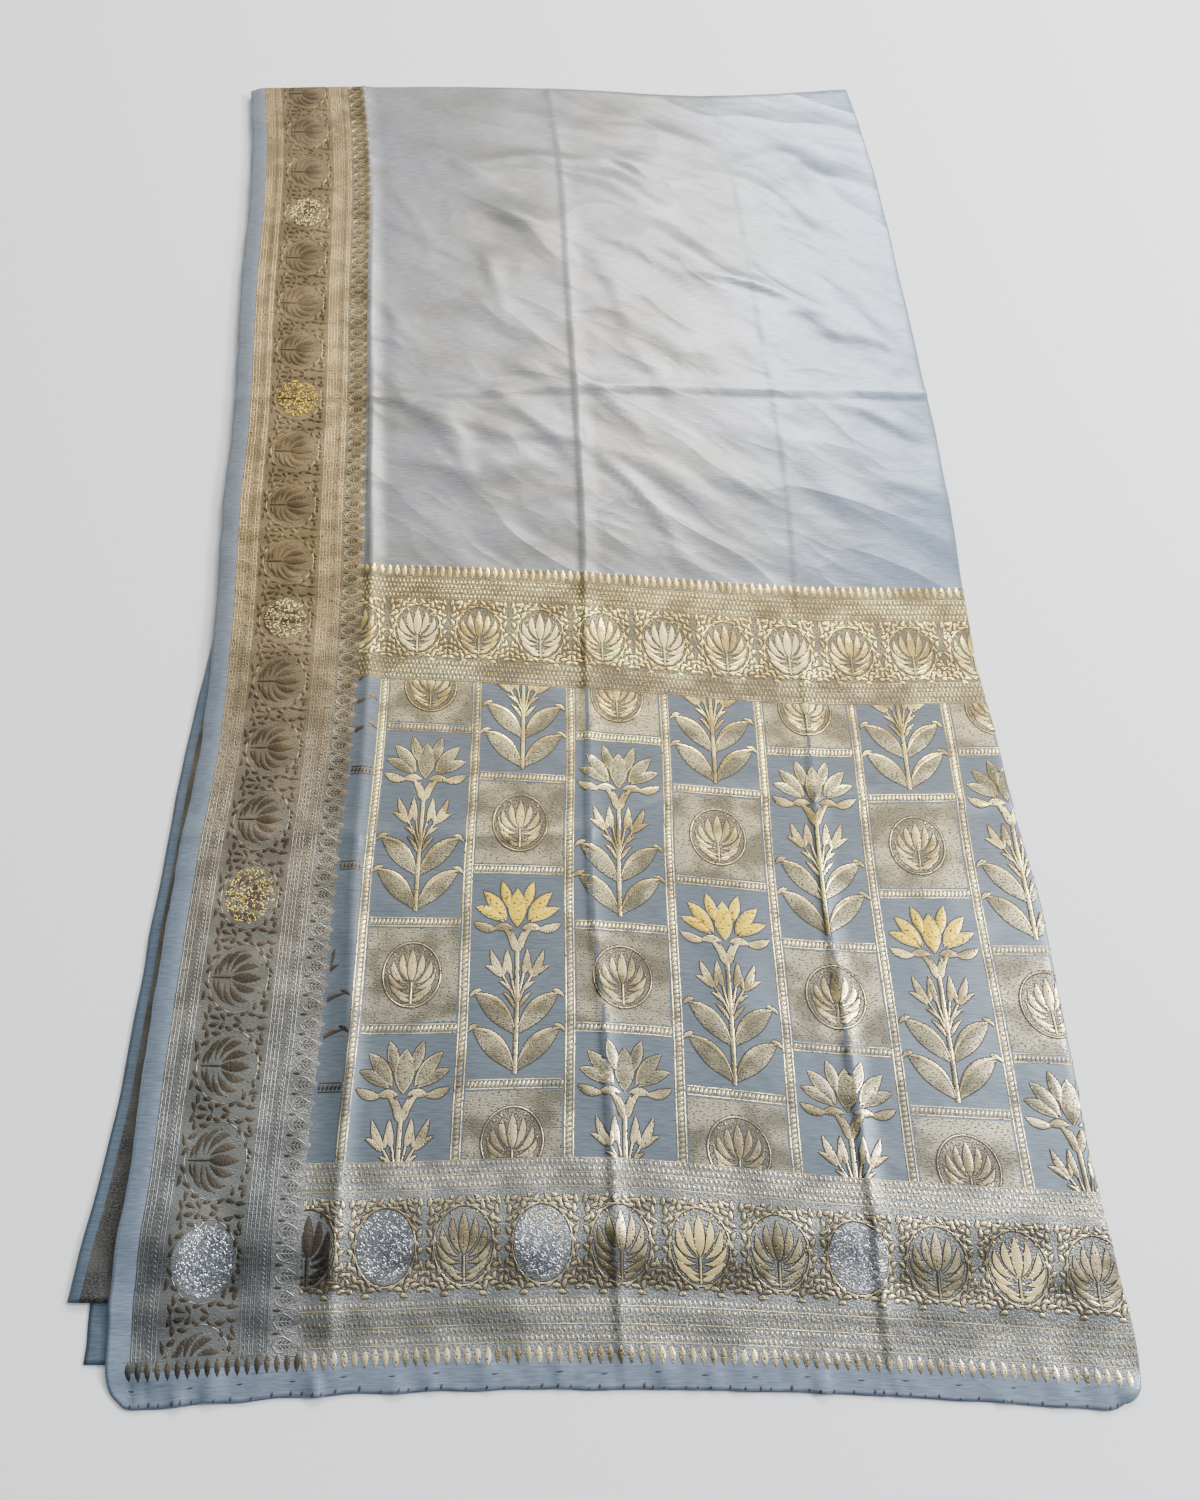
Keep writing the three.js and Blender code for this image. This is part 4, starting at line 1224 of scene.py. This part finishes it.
# %% Lay the pattern on the cloth
# Each piece: its name, its flat shapes, its material and how far off the cloth it starts.
# The part of the low band left of the first rope takes the dark thread as painted shade.
brown_and_shaded_shapes = [border_leaves, border_flowers, border_teeth, *beside_border([low_flowers])]
gilt_shapes = [*border_lines(), border_rings, ogees()]
pattern = [
    woven_piece("cell_grounds", past_rope(grid_patches), cell_cloth, 0.08),
    woven_piece("cell_discs", past_rope(grid_discs), shade_cloth),
    # Painted shade: dark flat copies under the edges of the motifs.
    woven_piece("flower_edges", past_rope(flower_edges), painted_edge_shade, 0.3),
    woven_piece("plant_edges", past_rope(plant_edges), painted_edge_shade, 0.1),
    woven_piece("band_edges", [low_shade_edges, high_shade_edges], painted_edge_shade, 0.1),
    woven_piece("cell_ropes", past_rope(cell_ropes), bright_thread),
    woven_piece("cell_flowers", past_rope(grid_flowers), bright_thread, 0.36),
    woven_piece("plant_stems", past_rope(grid_threads), bright_thread, 0.2),
    woven_piece("plant_leaves", past_rope(grid_fill), speckled_thread, 0.16),
    woven_piece("plant_lotus", past_rope(grid_lotus), bright_thread, 0.18),
    woven_piece("lotus_petals", past_rope([plain_fill]), speckled_thread, 0.3),
    # Painted shade: the threads left of the first rope, on the shaded flank of the border crease, take
    # the dark border thread.
    woven_piece("first_column", beside_border(grid_threads + cell_ropes), brown_gilt_and_shade_thread),
    woven_piece("yellow_lotus", past_rope([yellow_fill]), yellow_thread, 0.3),
    woven_piece("band_flowers", [*past_rope([low_flowers]), high_flowers, *fine_rows(), *teeth()],
                bright_thread, 0.18),
    woven_piece("band_leaves", [low_leaves, high_leaves], bright_thread, 0.18),
    woven_piece("border_leaves", brown_and_shaded_shapes, brown_gilt_and_shade_thread),
    woven_piece("border_lines", gilt_shapes, border_thread),
    woven_piece("border_net", [ogee_leaves()], brown_gilt_and_shade_thread),
    woven_piece("pale_flowers", pale_flowers, pale_thread, 0.34),
    woven_piece("bright_grounds", bright_grounds, silver_ground, 0.26),
    woven_piece("silver_glitter", band_silver + border_silver, silver_thread, 0.5),
    woven_piece("gold_glitter", band_gold + border_gold, yellow_thread, 0.42),
]

# %% [markdown]
# ## The hem
# The plain end strip is turned under and overcast by hand, so small dark stitches bite over its
# edge at uneven steps and longer tacking stitches hold the turning.

# %% Hem stitches
def hem_stitches():
    pick = random.Random(31)
    last_bite, last_tack = 570, 565
    stitches = []
    u = 4.0
    while u < last_bite:
        tall = pick.uniform(1.6, 3.2)
        bite = leaf((0, 0), (1.0, tall), tall * 0.5, 0, 0.5, 4, 0.3)
        stitches.append(moved(bite, u, pick.uniform(0.2, 0.9)))
        u += pick.uniform(4.5, 13.5)
    tack = leaf((0, 0), (4.2, 0.3), 0.8, 0, 0.5, 4, 0.3)
    u = 12.0
    while u < last_tack:
        stitches.append(moved(tack, u, pick.uniform(7.5, 9.0)))
        u += pick.uniform(24, 36)
    return stitches


pattern.append(woven_piece("hem_stitches", hem_stitches(), hem_thread, 0.1))


# %% The top lay as cloth
def give_thickness(sheet):
    """Cloth has two sides: a thin wall under the outer face."""
    wall = sheet.modifiers.new("thickness", "SOLIDIFY")
    wall.thickness = CLOTH_WALL * MM
    wall.offset = -1
    return sheet


give_thickness(top_lay)
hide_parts("border_pallu_stretch", "border_field_stretch", "pallu_stretch", "field_stretch",
            "end_hem")
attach(top_lay, "root")
print("pieces of pattern on the top lay:", len(pattern))

# %% [markdown]
# ## The lays below
# Along the left the second lay reaches out past the top one and shows its selvedge and a strip of
# dull gold. At the near left a corner of the third lay shows. Under them lie the other lays, whose
# folded edges show as a stack of soft rounds.

# %% Second and third lays
def lower_slot(centres):
    """0 for the plain selvedge and 1 for the strip of dull gold."""
    return (centres[:, 0] > 7).astype(int)


def second_lay():
    s = np.r_[even(45, 110, 22), np.linspace(110, 1058, 236)]
    own = np.r_[even(0, 14, 6), np.linspace(14, 30, 6), 40, 52, 66, 84]
    grid_s = np.repeat(s[:, None], own.size, axis=1)
    own_u = np.repeat(own[None, :], s.size, axis=0)
    left = along(SECOND_EDGE, "s", "left", grid_s.ravel()).reshape(grid_s.shape)
    top_left = outline("left", grid_s.ravel()).reshape(grid_s.shape)
    x = left + own_u + 0.9 * rough(grid_s, grid_s * 0, 30, 9.3) * (1 - ease(0, 20, own_u))
    inset = x - top_left
    high = WALL + over_hidden(inset, grid_s) + over_third(inset, grid_s)
    shown = ease(-2, -9, inset)
    high = high + shown * (0.5 + 0.4 * rough(own_u, grid_s, 24, 12.2)) - 0.25 * (1 - ease(0, 3, own_u))
    return sheet_object("second_lay_cloth", np.stack([x, grid_s, high], axis=-1),
                        np.stack([own_u, grid_s], axis=-1), lower_slot)


def third_lay():
    low_s, left_x = 14.0, -285.0
    inner = float(outline("left", [low_s])[0]) + 28
    grid_x, grid_s = np.meshgrid(np.linspace(left_x, inner, 16), np.linspace(low_s, 58, 16))
    own_u = grid_x - left_x
    ragged = 0.7 * rough(grid_s, grid_s * 0, 16, 3.9) * (1 - ease(0, 15, own_u))
    high = WALL - 0.2 * (1 - ease(0, 4, own_u))
    return sheet_object("third_lay_cloth", np.stack([grid_x + ragged, grid_s, high], axis=-1),
                        np.stack([own_u, grid_s], axis=-1))


second = give_thickness(second_lay())
second.data.materials.append(lower_silk)
second.data.materials.append(lower_band)
third = give_thickness(third_lay())
third.data.materials.append(lower_silk)
for lay, node in ((second, "second_lay"), (third, "third_lay")):
    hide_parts(node)
    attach(lay, "root")

# %% The stack of folded lays
# How far each lower lay stays back from the outline, the lowest first.
STACK = table_of(
    "left near right far",
    (3, 62, 3.5, 3), (6, 70, 2.5, 5), (10, 78, 4.5, 3), (14, 86, 5.5, 6), (66, 100, 6.5, 7))
SIDE_STEPS = 150
END_STEPS = 60


def lay_ring(lay, tucked, high, seed):
    """One level line round a folded lay, its edges a little wavy."""
    def sides(s):
        left = outline("left", s) + lay["left"] + tucked
        return left, outline("right", s) - lay["right"] - FOLD_RADIUS - tucked

    near, far = lay["near"] + tucked, FAR_END - lay["far"] - tucked
    side_s, ends = even(near, far, SIDE_STEPS), even(0, 1, END_STEPS)
    left, right = sides(side_s)
    (near_left, far_left), (near_right, far_right) = sides([near, far])
    near_x = near_left + (near_right - near_left) * ends
    far_x = far_right + (far_left - far_right) * ends
    across = far_x - outline("left", far)
    far_s = far + np.minimum(0, weft_shift(across, np.full(END_STEPS, FAR_END)))
    x = np.r_[near_x, right, far_x, left[::-1]]
    s = np.r_[np.full(END_STEPS, near), side_s, far_s, side_s[::-1]]
    wave = 0.8 * rough(x, s, 34, seed) + 0.35 * rough(x, s, 11, seed)
    toward = np.stack([x - x.mean(), s - s.mean()])
    toward = toward / np.abs(toward).max(axis=0)
    push = wave * np.sign(toward) * (np.abs(toward) > 0.5)
    return np.stack([x + push[0], s + push[1], np.full(x.size, high)], axis=1)


def lower_stack():
    """Rings up the stack, five to a lay, with a floor and a lid."""
    rings = [lay_ring(STACK[0], 1.4, 0.0, 20.5)]
    for k, lay in enumerate(STACK):
        for part, tucked in ((0.1, 1.2), (0.28, 0.35), (0.5, 0), (0.72, 0.35), (0.9, 1.2)):
            rings.append(lay_ring(lay, tucked, (k + part) * LAY_PITCH, 20.5 + 3 * k))
    count = len(rings[0])
    middles = [[*CENTRE, ring[:, 2].mean()] for ring in (rings[0], rings[-1])]
    points = np.vstack([*rings, middles])
    faces = []
    for k in range(len(rings) - 1):
        for i in range(count):
            a, b = k * count + i, k * count + (i + 1) % count
            faces.append((a, b, b + count, a + count))
    bottom, lid = len(points) - 2, len(points) - 1
    last = (len(rings) - 1) * count
    for i in range(count):
        faces.append(((i + 1) % count, i, bottom))
        faces.append((last + i, last + (i + 1) % count, lid))
    mesh = bpy.data.meshes.new("lower_lays")
    mesh.from_pydata(to_frame(points).tolist(), [], faces)
    layer = mesh.uv_layers.new(name="cloth")
    for loop in mesh.loops:
        place = mesh.vertices[loop.vertex_index].co
        layer.data[loop.index].uv = (place.x + place.z, place.y + place.z)
    smooth(mesh)
    mesh.materials.append(lower_silk)
    return show(bpy.data.objects.new("lower_lays_cloth", mesh))


stack = lower_stack()
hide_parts("hidden_lays")
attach(stack, "root")
print("faces in the stack:", len(stack.data.polygons))

# %% [markdown]

# %% [markdown]
# ## Floor, light and camera
# A pale floor, a cool sky all round, and one large soft window beyond the far right of the cloth.
# Its light skims the cloth, so the folds and the raised thread show.

# %% Stage
floor_mesh = bpy.data.meshes.new("floor")
floor_mesh.from_pydata([(-6, -6, 0), (6, -6, 0), (6, 6, 0), (-6, 6, 0)], [], [(0, 1, 2, 3)])
floor = show(bpy.data.objects.new("floor", floor_mesh))
floor.location.z = -0.0002
floor_paint = bpy.data.materials.new("floor_paint")
floor_paint.use_nodes = True
paint = floor_paint.node_tree.nodes["Principled BSDF"]
paint.inputs["Base Color"].default_value = linear("#FCFCFC")
paint.inputs["Roughness"].default_value = 0.9
floor_mesh.materials.append(floor_paint)


def area_light(name, place, target, size, power, colour):
    data = bpy.data.lights.new(name, "AREA")
    data.shape = "RECTANGLE"
    data.size, data.size_y = size
    data.energy = power
    data.color = linear(colour)[:3]
    light = show(bpy.data.objects.new(name, data))
    light.location = place
    light.rotation_euler = (Vector(target) - Vector(place)).to_track_quat("-Z", "Y").to_euler()
    return light


lights = [
    area_light("far_window", (0.95, 2.1, 1.75), (0.0, 0.1, 0.0), (1.1, 0.8), 78, "#FFFAF2"),
    area_light("right_window", (1.7, 0.0, 1.2), (0.0, 0.0, 0.0), (0.6, 0.5), 52, "#F2F6FF"),
]


def room_light(toward, dim, bright, strength):
    """A room that is brighter one way: the metal thread mirrors it, so its shine has a side."""
    sky = bpy.data.worlds.new("room")
    sky.use_nodes = True
    tree = sky.node_tree
    tree.nodes.clear()
    way = add(tree, "ShaderNodeTexCoord").outputs["Generated"]
    bright_way = Vector(toward).normalized()
    facing = add(tree, "ShaderNodeVectorMath", {0: way, 1: bright_way}, operation="DOT_PRODUCT")
    share = ramp(tree, facing.outputs["Value"], -0.75, 0.95)
    colour = mix(tree, share, linear(dim), linear(bright))
    level = ramp(tree, share, 0.0, 1.0, *strength)
    shader = add(tree, "ShaderNodeBackground", {0: colour, 1: level})
    add(tree, "ShaderNodeOutputWorld", {0: shader.outputs[0]})
    bpy.context.scene.world = sky


room_light((0.6, 0.75, 0.25), "#A9B4C2", "#F2F4F6", (0.25, 1.5))

# %% Camera
camera_data = bpy.data.cameras.new("camera")
camera_data.lens = 27.05
camera_data.sensor_width = 36
camera_data.shift_x = 0.102
camera = show(bpy.data.objects.new("camera", camera_data))
camera.location = (-0.0844, -0.4648, 0.7114)
camera.rotation_euler = (math.radians(24.5), 0, 0)
bpy.context.scene.camera = camera
print("camera lens, mm:", camera_data.lens)
